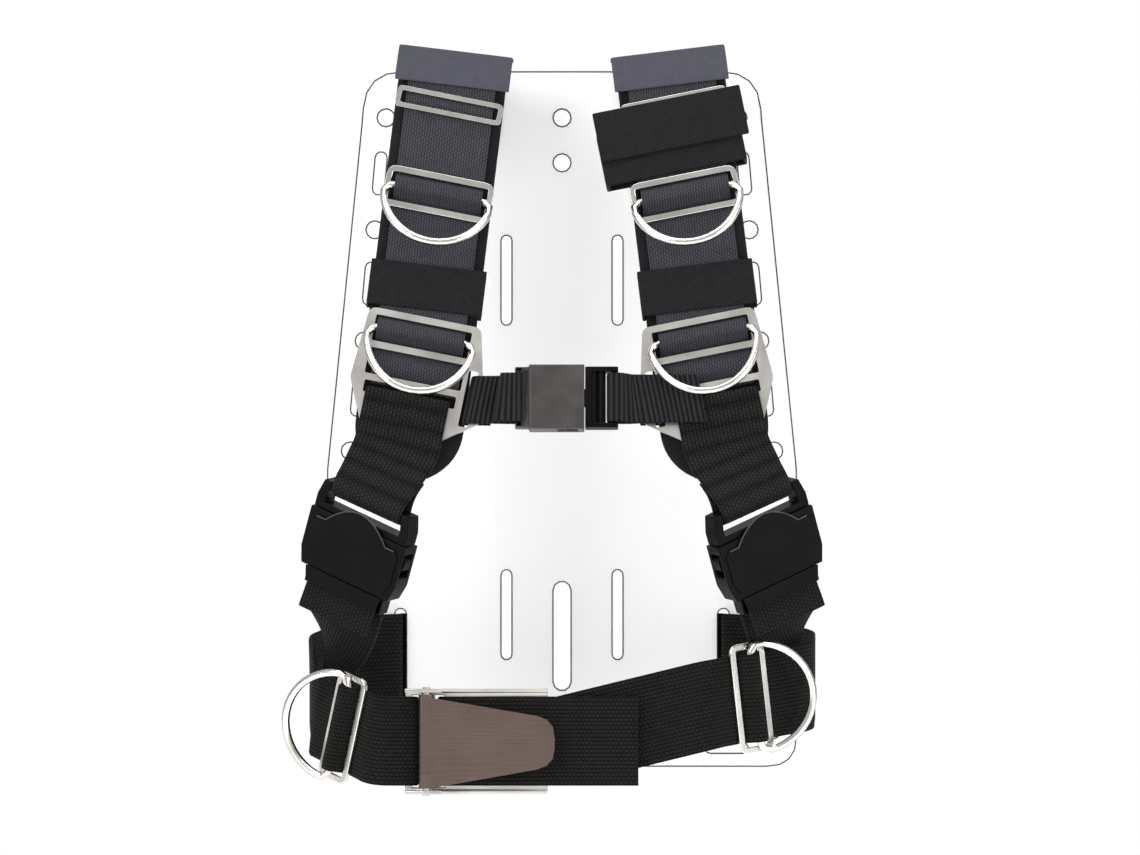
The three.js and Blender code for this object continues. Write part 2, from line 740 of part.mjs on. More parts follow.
// From the inside of the waist belt up to the socket's bar, over it, and out as a free tail.
function lowerWebbing() {
  const turn = turnRound(barHalves(QUICK).corner, WEBBING.thick) + CLEARANCE / 2;
  const bar = quickOrigin.clone().addScaledVector(quickUp, socketBar(QUICK));
  const back = quickUp.clone().cross(quickAcross).normalize();
  const round = (angle) => {
    const behind = bar.clone().addScaledVector(back, turn * Math.cos(angle));
    return behind.addScaledVector(quickUp, turn * Math.sin(angle));
  };
  const rising = new THREE.CubicBezierCurve3(
    LOWER_ROOT,
    LOWER_ROOT.clone().add(vector(0, 0, 36)),
    round(0).addScaledVector(quickUp, -LOWER_LEAVES),
    round(0),
  );
  const hanging = LOWER_TAIL.map(([down, out]) =>
    round(Math.PI).addScaledVector(quickUp, -down).addScaledVector(back, -out),
  );
  const tail = new THREE.CubicBezierCurve3(round(Math.PI), ...hanging);
  const points = [];
  const STEPS = 10;
  const TURNS = 6;
  for (let k = 0; k < STEPS; k += 1) points.push(rising.getPoint(k / STEPS));
  for (let k = 0; k < TURNS; k += 1) points.push(round((Math.PI * k) / TURNS));
  for (let k = 0; k <= STEPS; k += 1) points.push(tail.getPoint(k / STEPS));
  const risingLength = lengthOf(points.slice(0, STEPS + 1));
  const edgeOn = vector(0, -1, 0);
  const frames = strapFrames(points, (travelled) => {
    const share = travelled / risingLength;
    const turned = 1 - THREE.MathUtils.smoothstep(share, 0.15, 0.85);
    return quickAcross.clone().lerp(edgeOn, turned).normalize();
  });
  return strip(frames, WEBBING.width - 2, WEBBING.thick);
}

// ---- hose retainer: a folding band round the right shoulder strap, with a flap over its front
const RETAINER = {
  up: 159,
  half: 15.5,
  thick: 2,
  outer: -34,
  loop: 43, // the band stands off towards the neck, where the hose runs
  flap: { front: -6.1, low: -2, high: 27, outer: -40 },
};

function retainerBand() {
  const inside = {
    x0: RETAINER.outer,
    x1: RETAINER.loop,
    y0: -(WEBBING.thick / 2 + CLEARANCE),
    y1: STACK_BACK + CLEARANCE,
  };
  return wrapBand(inside, -RETAINER.half, RETAINER.half, RETAINER.thick);
}

function retainerFlap() {
  const { flap, thick, loop } = RETAINER;
  return box([flap.outer, flap.front, flap.low], [loop + thick, flap.front + thick, flap.high]);
}

// ---- slides that hold the webbing tails behind the plate
function tailSlide(parent, name, point, across, up) {
  const frame = basisFrame(parent, point, across, up);
  add(frame, name, upperSlide(), "steel");
}

for (const side of ["left", "right"]) {
  const flip = new THREE.Group();
  flip.scale.x = side === "left" ? 1 : -1;
  assembly.add(flip);
  const named = (name) => `${name}_${side}`;

  const shoulder = shoulderFrame();
  flip.add(shoulder);
  add(shoulder, named("shoulder_webbing"), shoulderWebbing(), "webbing");
  add(shoulder, named("shoulder_pad"), shoulderPad(), "pad");
  add(shoulder, named("shoulder_sleeve"), shoulderSleeve(), "sleeve");

  const front = frontFrame();
  shoulder.add(front);
  add(front, named("elastic_band"), elasticBand(), "elastic");
  add(placed(front, [0, -FRAME_LIFT, UP.upperSlide], SKEW), named("upper_slide"), upperSlide(), "steel");
  const ring = placed(front, [0, -FRAME_LIFT, UP.upperRing], SKEW);
  add(ring, named("ring_frame"), ringFrame(), "steel");
  const lower = placed(front, [0, -FRAME_LIFT, UP.trianglePlate], SKEW);
  add(lower, named("triangle_plate"), trianglePlate(), "steel");

  const tailBulgeZ = SHOULDER.tailEndZ + TAIL_BULGE.from;
  tailSlide(
    shoulder,
    named("shoulder_tail_slide"),
    vector(0, SHOULDER.tailY + FRAME_LIFT, tailBulgeZ),
    vector(-1, 0, 0),
    vector(0, 0, 1),
  );
  if (side === "right") {
    const retainer = placed(front, [0, 0, RETAINER.up], SKEW);
    add(retainer, "retainer_band", retainerBand(), "elastic");
    add(retainer, "retainer_flap", retainerFlap(), "elastic");
  }

  const upperHang = placed(ring, [0, -(RING_CENTRE - FRAME_LIFT), 0]);
  upperHang.rotation.x = -HANG;
  add(upperHang, named("upper_ring"), dRing(31, 33), "steel");
  const lowerHang = placed(lower, [0, -(RING_CENTRE - FRAME_LIFT), TRIANGLE.pitch / 2]);
  lowerHang.rotation.x = -HANG;
  add(lowerHang, named("lower_ring"), dRing(31, 37), "steel");

  add(flip, named("drop_webbing"), dropWebbing(), "webbing");
  add(flip, named("lower_webbing"), lowerWebbing(), "webbing");
  const quick = basisFrame(flip, quickOrigin, quickAcross, quickUp);
  add(quick, named("quick_plug"), bucklePlug(QUICK), "acetal");
  add(quick, named("quick_socket"), buckleSocket(QUICK), "acetal");
  add(quick, named("quick_arm_inner"), buckleArm(QUICK), "acetal");
  const outerArm = new THREE.Group();
  outerArm.scale.x = -1;
  quick.add(outerArm);
  add(outerArm, named("quick_arm_outer"), buckleArm(QUICK), "acetal");
}

// ---------------------------------------------------------------- waist belt

const WAIST = {
  backY: -150.6, // belt under the buckle
  frontY: -155.8, // belt and tail over the buckle's frame
  z: -181,
  endBar: -84, // the edges of the two bars the webbing turns round
  gripBar: -66,
  turn: 2.6,
  tailEnd: 43,
  tailX: 58, // the sewn end behind the plate
  tailY: 4.5,
  slideFrom: 14, // from the sewn end to its slide
  rootY: -9,
};

const belt = (x, y, z, radius) => ({ at: vector(x, y, z), radius });

function leftBeltCorners() {
  return [
    belt(-WAIST.tailX, WAIST.tailY, WAIST_SLOT.z),
    belt(-WAIST_SLOT.x, WAIST.tailY, WAIST_SLOT.z, 4),
    belt(-WAIST_SLOT.x, WAIST.rootY, WAIST_SLOT.z, 4),
    belt(-116, WAIST.rootY, -138, 14),
    belt(-143, -62, -148, 30),
    belt(-140, -119, -165, 16),
    belt(-105, WAIST.frontY, WAIST.z, 16),
    belt(WAIST.endBar + WAIST.turn, WAIST.frontY, WAIST.z, 2.55),
    belt(WAIST.endBar + WAIST.turn, WAIST.backY, WAIST.z, 2.55),
    belt(-102, WAIST.backY, WAIST.z),
  ];
}

function rightBeltCorners() {
  return [
    belt(WAIST.tailX, WAIST.tailY, WAIST_SLOT.z),
    belt(WAIST_SLOT.x, WAIST.tailY, WAIST_SLOT.z, 4),
    belt(WAIST_SLOT.x, WAIST.rootY, WAIST_SLOT.z, 4),
    belt(114, WAIST.rootY, -138, 14),
    belt(143.5, -62, -146, 30),
    belt(141.5, -110, -151, 18),
    belt(84, -150.6, -160.5, 20),
    belt(0, WAIST.backY, WAIST.z, 30),
    belt(WAIST.gripBar - WAIST.turn, WAIST.backY, WAIST.z, 2.55),
    belt(WAIST.gripBar - WAIST.turn, WAIST.frontY, WAIST.z, 2.55),
    belt(WAIST.tailEnd, WAIST.frontY, WAIST.z),
  ];
}

// The belt's frames, with the distance along it where the ring frame sits.
function beltRun(corners, upSign, ringX) {
  const route = strapRoute(corners);
  const up = () => vector(0, 0, upSign);
  const coarse = strapFrames(refine(route, () => 2), up);
  const onFront = coarse.filter(({ point }) => point.y < -100);
  const at = onFront.reduce((best, frame) =>
    Math.abs(frame.point.x - ringX) < Math.abs(best.point.x - ringX) ? frame : best,
  );
  const bulges = [
    { at: at.travelled, ...OVER_FRAME },
    { at: WAIST.slideFrom, ...OVER_SLIDE },
  ];
  const fine = refine(refine(route, () => 10), (from, to) =>
    bulges.some((bulge) => to > bulge.at - bulge.reach - 1 && from < bulge.at + bulge.reach + 1) ? 1.6 : 14,
  );
  const lift = (frame) => bulges.reduce((sum, bulge) => sum + ridge(frame.travelled - bulge.at, bulge), 0);
  return { frames: strapFrames(fine, up), lift, ringAt: at };
}

const CAM = {
  left: -88,
  right: -8,
  half: 29.5,
  wall: 2,
  plate: { front: -154.3, back: -152.1 },
  pin: { x: -76, y: -162, radius: 2 },
  hub: 4.3,
  lever: { tip: -4, thick: 1.8, end: 14.8 },
};

function camFrame() {
  const { left, right, half, wall, plate, pin } = CAM;
  const z0 = WAIST.z - half;
  const z1 = WAIST.z + half;
  const web = WEBBING.width / 2 + 0.8;
  const base = box([left, plate.front, z0], [right, plate.back, z1]);
  const RIM = 3.4; // how far the flanges stand out from the base
  const flanges = [z0, z1 - wall].map((z) =>
    box([left, plate.front - RIM, z], [right, plate.back, z + wall]),
  );
  const ears = [z0, z1 - wall].map((z) => box([left, pin.y - 4, z], [pin.x + 9, plate.back, z + wall]));
  const slots = [
    box([WAIST.endBar, -160, WAIST.z - web], [WAIST.endBar + 5.2, -145, WAIST.z + web]),
    box([WAIST.gripBar - 5.2, -160, WAIST.z - web], [WAIST.gripBar, -145, WAIST.z + web]),
  ];
  const bore = cylinder(pin.radius + 0.25, half * 3, "z", [pin.x, pin.y, WAIST.z], 12);
  return carve(join(base, ...flanges, ...ears), [...slots, bore]);
}

function camPin() {
  return cylinder(CAM.pin.radius, 2 * CAM.half + 2, "z", [CAM.pin.x, CAM.pin.y, WAIST.z], 12);
}

function camLever() {
  const { pin, hub, lever, half, wall } = CAM;
  const front = pin.y - hub + 0.3;
  const shape = roundedOutline([
    [pin.x - 3, WAIST.z + half - wall - 1.2, 1],
    [pin.x + 6, WAIST.z + half - wall - 3.5, 4],
    [lever.tip, WAIST.z + lever.end - 2, 12],
    [lever.tip, WAIST.z - lever.end + 1, 12],
    [pin.x + 6, WAIST.z - half + wall + 2, 4],
    [pin.x - 3, WAIST.z - half + wall + 1.2, 1],
  ]);
  const blade = flatPlate(shape, front, lever.thick);
  const barrel = cylinder(hub, 2 * (half - wall - 1.2), "z", [pin.x, pin.y, WAIST.z], 16);
  const bore = cylinder(pin.radius + 0.25, half * 3, "z", [pin.x, pin.y, WAIST.z], 12);
  return carve(join(blade, barrel), [bore]);
}

// Puts hardware on a belt: z runs along the belt and -y faces out.
function onBelt(parent, frame) {
  const out = frame.normal;
  const up = frame.tangent;
  const back = out.clone().negate();
  const across = back.clone().cross(up).normalize();
  return basisFrame(parent, frame.point.clone().addScaledVector(out, FRAME_LIFT), across, up);
}

for (const [side, corners, upSign, ringX] of [
  ["left", leftBeltCorners(), 1, -121],
  ["right", rightBeltCorners(), -1, 105],
]) {
  const run = beltRun(corners, upSign, ringX);
  add(assembly, `waist_webbing_${side}`, strip(run.frames, WEBBING.width, WEBBING.thick, run), "webbing");
  const frame = onBelt(assembly, run.ringAt);
  add(frame, `waist_ring_frame_${side}`, ringFrame(), "steel");
  const outward = side === "left" ? -1 : 1;
  tailSlide(
    assembly,
    `waist_tail_slide_${side}`,
    vector(outward * (WAIST.tailX + WAIST.slideFrom), WAIST.tailY + FRAME_LIFT, WAIST_SLOT.z),
    vector(0, 0, outward),
    vector(outward, 0, 0),
  );
  const hang = placed(frame, [0, -(RING_CENTRE - FRAME_LIFT), 0]);
  hang.rotation.x = -HANG;
  add(hang, `waist_ring_${side}`, dRing(31, 34), "steel");
}

add(assembly, "cam_frame", camFrame(), "steel");
add(assembly, "cam_pin", camPin(), "steel");
add(assembly, "cam_lever", camLever(), "brushed");

// ---------------------------------------------------------------- chest strap

// The chest strap lies in the leaning plane of the two triangle plates.
const chestMiddle = frontToWorld(...onTriangle(37, -20.5));
const chestFrame = new THREE.Group();
chestFrame.position.set(0, chestMiddle.y, chestMiddle.z);
chestFrame.rotation.x = -SHOULDER.pitch;
assembly.add(chestFrame);

const CHEST_RUN = {
  rail: Math.abs(frontToWorld(...onTriangle(CHEST_SLOT.outer, -20.5)).x),
  wrap: FRAME_PLATE.thick / 2 + 0.8 + CHEST_WEBBING.thick / 2,
  mouth: 12.7, // the seam of the closed buckle
  hem: 12,
  tail: 79,
};
const chestTurn = turnRound(barHalves(CHEST).corner, CHEST_WEBBING.thick) + CLEARANCE / 2;
const railLean = SHOULDER.lean + SKEW;

function chestWebbing(corners, leanAt) {
  const points = refine(strapRoute(corners), () => 8);
  const frames = strapFrames(
    points,
    (travelled, point) => vector(Math.sin(leanAt(point)), 0, Math.cos(leanAt(point))),
    true,
  );
  return strip(frames, CHEST_WEBBING.width, CHEST_WEBBING.thick);
}

const chestPoint = (x, y, radius) => ({ at: vector(x, y, 0), radius });

function chestLeft() {
  const { rail, wrap, mouth, hem } = CHEST_RUN;
  const bar = mouth + socketBar(CHEST);
  const fold = -rail - wrap;
  return chestWebbing(
    [
      chestPoint(-rail + hem, wrap),
      chestPoint(fold, wrap, wrap - 0.05),
      chestPoint(fold, -wrap, wrap - 0.05),
      chestPoint(bar + chestTurn, -wrap, chestTurn - 0.05),
      chestPoint(bar + chestTurn, -wrap - 2 * chestTurn, chestTurn - 0.05),
      chestPoint(bar - hem, -wrap - 2 * chestTurn),
    ],
    (point) => railLean * THREE.MathUtils.smoothstep(-point.x, 26, rail - 8),
  );
}

function chestRight() {
  const { rail, wrap, mouth, hem, tail } = CHEST_RUN;
  const bar = mouth + plugBar(CHEST);
  const fold = rail + wrap;
  const over = -wrap - CHEST_WEBBING.thick - 1.7;
  return chestWebbing(
    [
      chestPoint(rail - hem + 4, wrap),
      chestPoint(fold, wrap, wrap - 0.05),
      chestPoint(fold, -wrap, wrap - 0.05),
      chestPoint(bar - chestTurn, -wrap, chestTurn - 0.05),
      chestPoint(bar - chestTurn, -wrap - 2 * chestTurn, chestTurn - 0.05),
      chestPoint(bar + 3, -wrap - 2 * chestTurn, 4),
      chestPoint(bar + 10, over, 4),
      chestPoint(tail, over),
    ],
    (point) => -railLean * THREE.MathUtils.smoothstep(point.x, 36, rail - 6),
  );
}

add(chestFrame, "chest_webbing_left", chestLeft(), "webbing");
add(chestFrame, "chest_webbing_right", chestRight(), "webbing");
const chestBuckle = basisFrame(
  chestFrame,
  vector(CHEST_RUN.mouth, -CHEST_RUN.wrap - chestTurn, 0),
  vector(0, 0, -1),
  vector(1, 0, 0),
);
add(chestBuckle, "chest_socket", buckleSocket(CHEST), "acetal");
add(chestBuckle, "chest_plug", bucklePlug(CHEST), "acetal");
add(chestBuckle, "chest_arm_lower", buckleArm(CHEST), "acetal");
const upperArm = new THREE.Group();
upperArm.scale.x = -1;
chestBuckle.add(upperArm);
add(upperArm, "chest_arm_upper", buckleArm(CHEST), "acetal");

export default assembly;
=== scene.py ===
# %% [markdown]
# # A webbing diving harness on a slotted back plate
#
# The harness is black polyamide webbing, threaded through a flat metal plate and through steel hardware.
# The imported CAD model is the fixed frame. It says where every piece is, how big it is, and which body it
# moves with.
# This lesson keeps the CAD's hard pieces' shapes and gives them softened edges and real finishes.
# The straps and pads are woven and stuffed here, along the lines that the CAD's plain strips give.

# %% Load the frame
import json
import math

import bmesh
import bpy
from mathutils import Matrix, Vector


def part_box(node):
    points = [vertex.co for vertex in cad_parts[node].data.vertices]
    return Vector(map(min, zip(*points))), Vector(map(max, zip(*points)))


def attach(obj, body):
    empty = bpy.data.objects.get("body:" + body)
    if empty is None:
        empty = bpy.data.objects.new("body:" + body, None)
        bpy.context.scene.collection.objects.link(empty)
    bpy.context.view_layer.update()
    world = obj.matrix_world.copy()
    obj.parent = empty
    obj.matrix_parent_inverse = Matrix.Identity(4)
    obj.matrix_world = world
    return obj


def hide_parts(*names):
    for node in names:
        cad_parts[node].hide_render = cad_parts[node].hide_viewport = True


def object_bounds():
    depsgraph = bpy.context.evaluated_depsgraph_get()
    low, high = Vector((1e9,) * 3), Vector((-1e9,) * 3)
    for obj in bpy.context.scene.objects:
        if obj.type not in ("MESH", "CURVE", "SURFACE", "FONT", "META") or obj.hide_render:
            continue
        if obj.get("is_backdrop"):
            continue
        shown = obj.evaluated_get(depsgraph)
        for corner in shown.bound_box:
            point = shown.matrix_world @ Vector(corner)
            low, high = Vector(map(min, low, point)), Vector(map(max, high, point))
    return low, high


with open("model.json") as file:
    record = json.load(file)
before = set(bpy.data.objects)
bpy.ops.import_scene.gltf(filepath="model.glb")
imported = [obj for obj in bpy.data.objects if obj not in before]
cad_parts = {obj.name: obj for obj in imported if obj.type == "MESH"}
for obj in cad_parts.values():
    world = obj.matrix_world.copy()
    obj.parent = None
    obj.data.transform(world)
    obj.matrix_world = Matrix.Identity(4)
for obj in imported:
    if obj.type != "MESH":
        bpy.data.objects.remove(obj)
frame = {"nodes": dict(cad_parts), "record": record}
cad_low, cad_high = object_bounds()
bodies = frame["record"]["behaviour"]["bodies"]


def body_holding(node):
    return next(name for name, members in bodies.items() if node in members)


# %% [markdown]
# ## The camera
#
# A harness is catalogued from straight in front, with a long lens, so that its plate keeps its true outline.
# A short lens close up would swell the buckles, which stand 150 mm in front of the plate.
# The lens length follows from the distance and the width that the view takes in.

# %% Camera
VIEW_DISTANCE = 6.0
VIEW_WIDTH = 0.657
VIEW_CENTRE = Vector((0.0046, 0.0, -0.0049))

camera_data = bpy.data.cameras.new("catalogue_camera")
camera_data.sensor_width = 36
camera_data.lens = camera_data.sensor_width * VIEW_DISTANCE / VIEW_WIDTH
camera_data.clip_end = 60
camera = bpy.data.objects.new("catalogue_camera", camera_data)
camera.location = VIEW_CENTRE + Vector((0, -VIEW_DISTANCE, 0))
camera.rotation_euler = (math.radians(90), 0, 0)
bpy.context.collection.objects.link(camera)
bpy.context.scene.camera = camera
print("lens", round(camera_data.lens), "mm")

# %% [markdown]
# ## Helpers for finishes
#
# Every finish here is a small graph of nodes. Three helpers keep the graphs short enough to read.
# `new_finish` makes the material, `wire` sets a socket or links it, and `calc` adds one step of arithmetic.

# %% Finish helpers


def new_finish(name):
    material = bpy.data.materials.new(name)
    material.use_nodes = True
    return material, material.node_tree, material.node_tree.nodes["Principled BSDF"]


def wire(tree, source, socket):
    if isinstance(source, bpy.types.NodeSocket):
        tree.links.new(source, socket)
    else:
        socket.default_value = source


def calc(tree, operation, first, second=0.0):
    node = tree.nodes.new("ShaderNodeMath")
    node.operation = operation
    wire(tree, first, node.inputs[0])
    wire(tree, second, node.inputs[1])
    return node.outputs[0]


def noise(tree, where, scale, detail=3.0):
    node = tree.nodes.new("ShaderNodeTexNoise")
    node.inputs["Scale"].default_value = scale
    node.inputs["Detail"].default_value = detail
    wire(tree, where, node.inputs["Vector"])
    return node.outputs["Fac"]


def ramp(tree, amount, low, high, start=0.0, end=1.0):
    node = tree.nodes.new("ShaderNodeValToRGB")
    node.color_ramp.elements[0].position = start
    node.color_ramp.elements[1].position = end
    node.color_ramp.elements[0].color = (*low, 1)
    node.color_ramp.elements[1].color = (*high, 1)
    wire(tree, amount, node.inputs["Fac"])
    return node.outputs["Color"]


def spread(tree, amount, low, high):
    node = tree.nodes.new("ShaderNodeMapRange")
    node.inputs["To Min"].default_value = low
    node.inputs["To Max"].default_value = high
    wire(tree, amount, node.inputs["Value"])
    return node.outputs["Result"]


def relief(tree, shader, height, depth):
    node = tree.nodes.new("ShaderNodeBump")
    node.inputs["Distance"].default_value = depth
    wire(tree, height, node.inputs["Height"])
    tree.links.new(node.outputs["Normal"], shader.inputs["Normal"])


def object_place(tree, stretch=(1, 1, 1)):
    place = tree.nodes.new("ShaderNodeTexCoord")
    mapping = tree.nodes.new("ShaderNodeMapping")
    mapping.inputs["Scale"].default_value = stretch
    tree.links.new(place.outputs["Object"], mapping.inputs["Vector"])
    return mapping.outputs["Vector"]


# %% [markdown]
# ## The studio
#
# The floor is a flat sheet of pale paper, and the room beyond it is white. A wall behind would make the same
# picture from the front, but it would hide the plate's back from anyone who walks round.
# Two large soft lights stand to the sides and one hangs above. Soft light is what shows a black weave:
# a hard lamp would leave the straps as flat black shapes with a few white sparks.

# %% Studio
FLOOR_Z = cad_low.z - 0.12
FLOOR_FRONT, FLOOR_BACK, FLOOR_HALF = -4.0, 1.6, 4.0
ROOM_LIGHT, ROOM_SEEN = 0.54, 1.0
PAPER_GLOW = 0.38

floor_corners = [
    (-FLOOR_HALF, FLOOR_FRONT, FLOOR_Z),
    (FLOOR_HALF, FLOOR_FRONT, FLOOR_Z),
    (FLOOR_HALF, FLOOR_BACK, FLOOR_Z),
    (-FLOOR_HALF, FLOOR_BACK, FLOOR_Z),
]
floor_mesh = bpy.data.meshes.new("paper_floor")
floor_mesh.from_pydata(floor_corners, [], [(0, 1, 2, 3)])
floor = bpy.data.objects.new("paper_floor", floor_mesh)
bpy.context.collection.objects.link(floor)
floor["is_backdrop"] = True

paper, paper_tree, paper_shader = new_finish("pale_paper")
paper_grain = noise(paper_tree, object_place(paper_tree), 60)
paper_colour = ramp(paper_tree, paper_grain, (0.86, 0.86, 0.86), (0.9, 0.9, 0.9))
wire(paper_tree, paper_colour, paper_shader.inputs["Base Color"])
paper_shader.inputs["Roughness"].default_value = 0.9
# The lamps fade with distance. A little glow of its own keeps the paper's edge from showing.
paper_shader.inputs["Emission Color"].default_value = (1, 1, 1, 1)
paper_shader.inputs["Emission Strength"].default_value = PAPER_GLOW
floor_mesh.materials.append(paper)


def soft_light(name, place, size, watts):
    data = bpy.data.lights.new(name, "AREA")
    data.shape = "RECTANGLE"
    data.size, data.size_y = size
    data.energy = watts
    light = bpy.data.objects.new(name, data)
    light.location = place
    light.rotation_euler = (VIEW_CENTRE - Vector(place)).to_track_quat("-Z", "Y").to_euler()
    bpy.context.collection.objects.link(light)


# Each light's name, place and size in metres, and watts.
STUDIO_LIGHTS = [
    ("key_left", (-1.5, -1.7, 1.2), (1.3, 1.6), 34),
    ("fill_right", (1.7, -1.5, 0.5), (1.3, 1.6), 19),
    ("top", (0.0, -0.6, 1.9), (1.8, 1.2), 19),
]
for studio_light in STUDIO_LIGHTS:
    soft_light(*studio_light)
world = bpy.data.worlds.new("pale_room")
world.use_nodes = True
room = world.node_tree
room_light = room.nodes["Background"]
room_light.inputs["Color"].default_value = (1, 1, 1, 1)
room_light.inputs["Strength"].default_value = ROOM_LIGHT
room_seen = room.nodes.new("ShaderNodeBackground")
room_seen.inputs["Color"].default_value = (1, 1, 1, 1)
room_seen.inputs["Strength"].default_value = ROOM_SEEN
room_mix = room.nodes.new("ShaderNodeMixShader")
room.links.new(room.nodes.new("ShaderNodeLightPath").outputs["Is Camera Ray"], room_mix.inputs["Fac"])
room.links.new(room_light.outputs["Background"], room_mix.inputs[1])
room.links.new(room_seen.outputs["Background"], room_mix.inputs[2])
room.links.new(room_mix.outputs["Shader"], room.nodes["World Output"].inputs["Surface"])
bpy.context.scene.world = world
bpy.context.scene.view_settings.view_transform = "Standard"

# %% [markdown]
# ## Finishes for the metal
#
# Three metals are on the harness. The rings and ring frames are polished stainless rod and bar.
# The triangle plates and slides are stamped sheet with a satin face. The cam lever is brushed and darker.
# All three share one recipe: fine scratches along one direction, and broad smudges in the roughness.

# %% Metal finishes


def steel_finish(name, colour, dull, roughness, scratch_stretch, scratch_depth):
    material, tree, shader = new_finish(name)
    scratches = noise(tree, object_place(tree, scratch_stretch), 900, 2)
    smudges = noise(tree, object_place(tree), 45, 4)
    wire(tree, ramp(tree, smudges, dull, colour, 0.3, 0.62), shader.inputs["Base Color"])
    mixed = calc(tree, "ADD", calc(tree, "MULTIPLY", scratches, 0.5), calc(tree, "MULTIPLY", smudges, 0.5))
    wire(tree, spread(tree, mixed, *roughness), shader.inputs["Roughness"])
    shader.inputs["Metallic"].default_value = 1.0
    relief(tree, shader, scratches, scratch_depth)
    return material


polished_steel = steel_finish(
    "polished_steel", (0.80, 0.78, 0.75), (0.60, 0.58, 0.55), (0.10, 0.30), (1, 1, 0.15), 0.00003
)
satin_steel = steel_finish(
    "satin_steel", (0.66, 0.64, 0.61), (0.50, 0.48, 0.45), (0.26, 0.46), (0.08, 1, 1), 0.00006
)
brushed_lever_steel = steel_finish(
    "brushed_lever_steel", (0.162, 0.117, 0.103), (0.142, 0.102, 0.090), (0.30, 0.44), (0.05, 1, 1), 0.00008
)
METALS = {"polished_steel": polished_steel, "satin_steel": satin_steel, "brushed_steel": brushed_lever_steel}

# %% [markdown]
# ## The buckles' plastic
#
# Side-release buckles are moulded in black acetal. Its face has a fine spark-eroded texture,
# and handling polishes it unevenly, so the roughness wanders as well as the surface.

# %% Buckle plastic


def acetal_finish(name, dark, light, roughness, gleam):
    material, tree, shader = new_finish(name)
    spark_grain = noise(tree, object_place(tree), 1400, 2)
    handling = noise(tree, object_place(tree), 60, 4)
    wire(tree, ramp(tree, handling, dark, light, 0.3, 0.7), shader.inputs["Base Color"])
    wire(tree, spread(tree, handling, *roughness), shader.inputs["Roughness"])
    shader.inputs["Specular IOR Level"].default_value = gleam
    relief(tree, shader, spark_grain, 0.00006)
    return material


side_buckle_acetal = acetal_finish(
    "side_buckle_acetal", (0.0016, 0.0014, 0.0013), (0.0042, 0.0034, 0.0031), (0.28, 0.48), 0.08
)
chest_buckle_acetal = acetal_finish(
    "chest_buckle_acetal", (0.028, 0.026, 0.025), (0.055, 0.050, 0.048), (0.26, 0.45), 0.45
)

# %% [markdown]
# ## Hard pieces with softened edges
#
# A CAD solid has knife edges, and no stamped or moulded piece does. A highlight runs along a real edge.
# The CAD objects must not change, so each hard piece is a copy of its node's mesh, and stands for the node.
# Double points are merged first, since a bevel can only follow an edge that two faces share.
# The side buckles' halves also slope in towards their ends, as mouldings do to slide past clothing.

# %% Hard pieces
METAL_EDGE, MOULDED_EDGE = 0.00045, 0.0007
SHARP, ROD_SHARP = 35, 60


def copied_piece(node, name):
    mesh = frame["nodes"][node].data.copy()
    mesh.materials.clear()
    work = bmesh.new()
    work.from_mesh(mesh)
    bmesh.ops.remove_doubles(work, verts=work.verts, dist=0.00001)
    bmesh.ops.dissolve_limit(work, angle_limit=math.radians(1), verts=work.verts, edges=work.edges)
    work.to_mesh(mesh)
    work.free()
    piece = bpy.data.objects.new(name, mesh)
    bpy.context.collection.objects.link(piece)
    return piece


def stand_for(piece, node):
    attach(piece, body_holding(node))
    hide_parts(node)


def hard_piece(node, finish, edge, sharp=SHARP):
    piece = copied_piece(node, f"{node}_finished")
    piece.data.materials.append(finish)
    piece.data.shade_smooth()
    piece.data.set_sharp_from_angle(angle=math.radians(sharp))
    if edge:
        bevel = piece.modifiers.new("softened_edge", "BEVEL")
        bevel.width = edge
        bevel.segments = 2
        bevel.limit_method = "ANGLE"
        bevel.angle_limit = math.radians(sharp)
    stand_for(piece, node)
    return piece


hinges = {joint["child"]: joint for joint in frame["record"]["behaviour"]["joints"]}


def buckle_directions(first_arm, second_arm):
    """The buckle's mouth, and its directions across, along to the plug, and out of its face."""
    first, second = Vector(hinges[first_arm]["pos_m"]), Vector(hinges[second_arm]["pos_m"])
    axis = Vector(hinges[first_arm]["axis"])
    across = (first - second).normalized()
    out = -axis if axis.y > 0 else axis
    return (first + second) / 2, across, across.cross(axis), out


def narrowed(piece, mouth, across, along, start, end, share):
    """Slopes the piece's sides in towards one end, from full width at start to share of it at end."""
    work = bmesh.new()
    work.from_mesh(piece.data)
    everything = list(work.verts) + list(work.edges) + list(work.faces)
    bmesh.ops.bisect_plane(work, geom=everything, plane_co=mouth + along * start, plane_no=along)
    for vertex in work.verts:
        from_mouth = vertex.co - mouth
        amount = min(1.0, max(0.0, (from_mouth.dot(along) - start) / (end - start)))
        vertex.co -= across * (from_mouth.dot(across) * (1 - share) * amount)
    work.to_mesh(piece.data)
    work.free()


slot_of = {part["node"]: part["material_slot"] for part in frame["record"]["subparts"]}
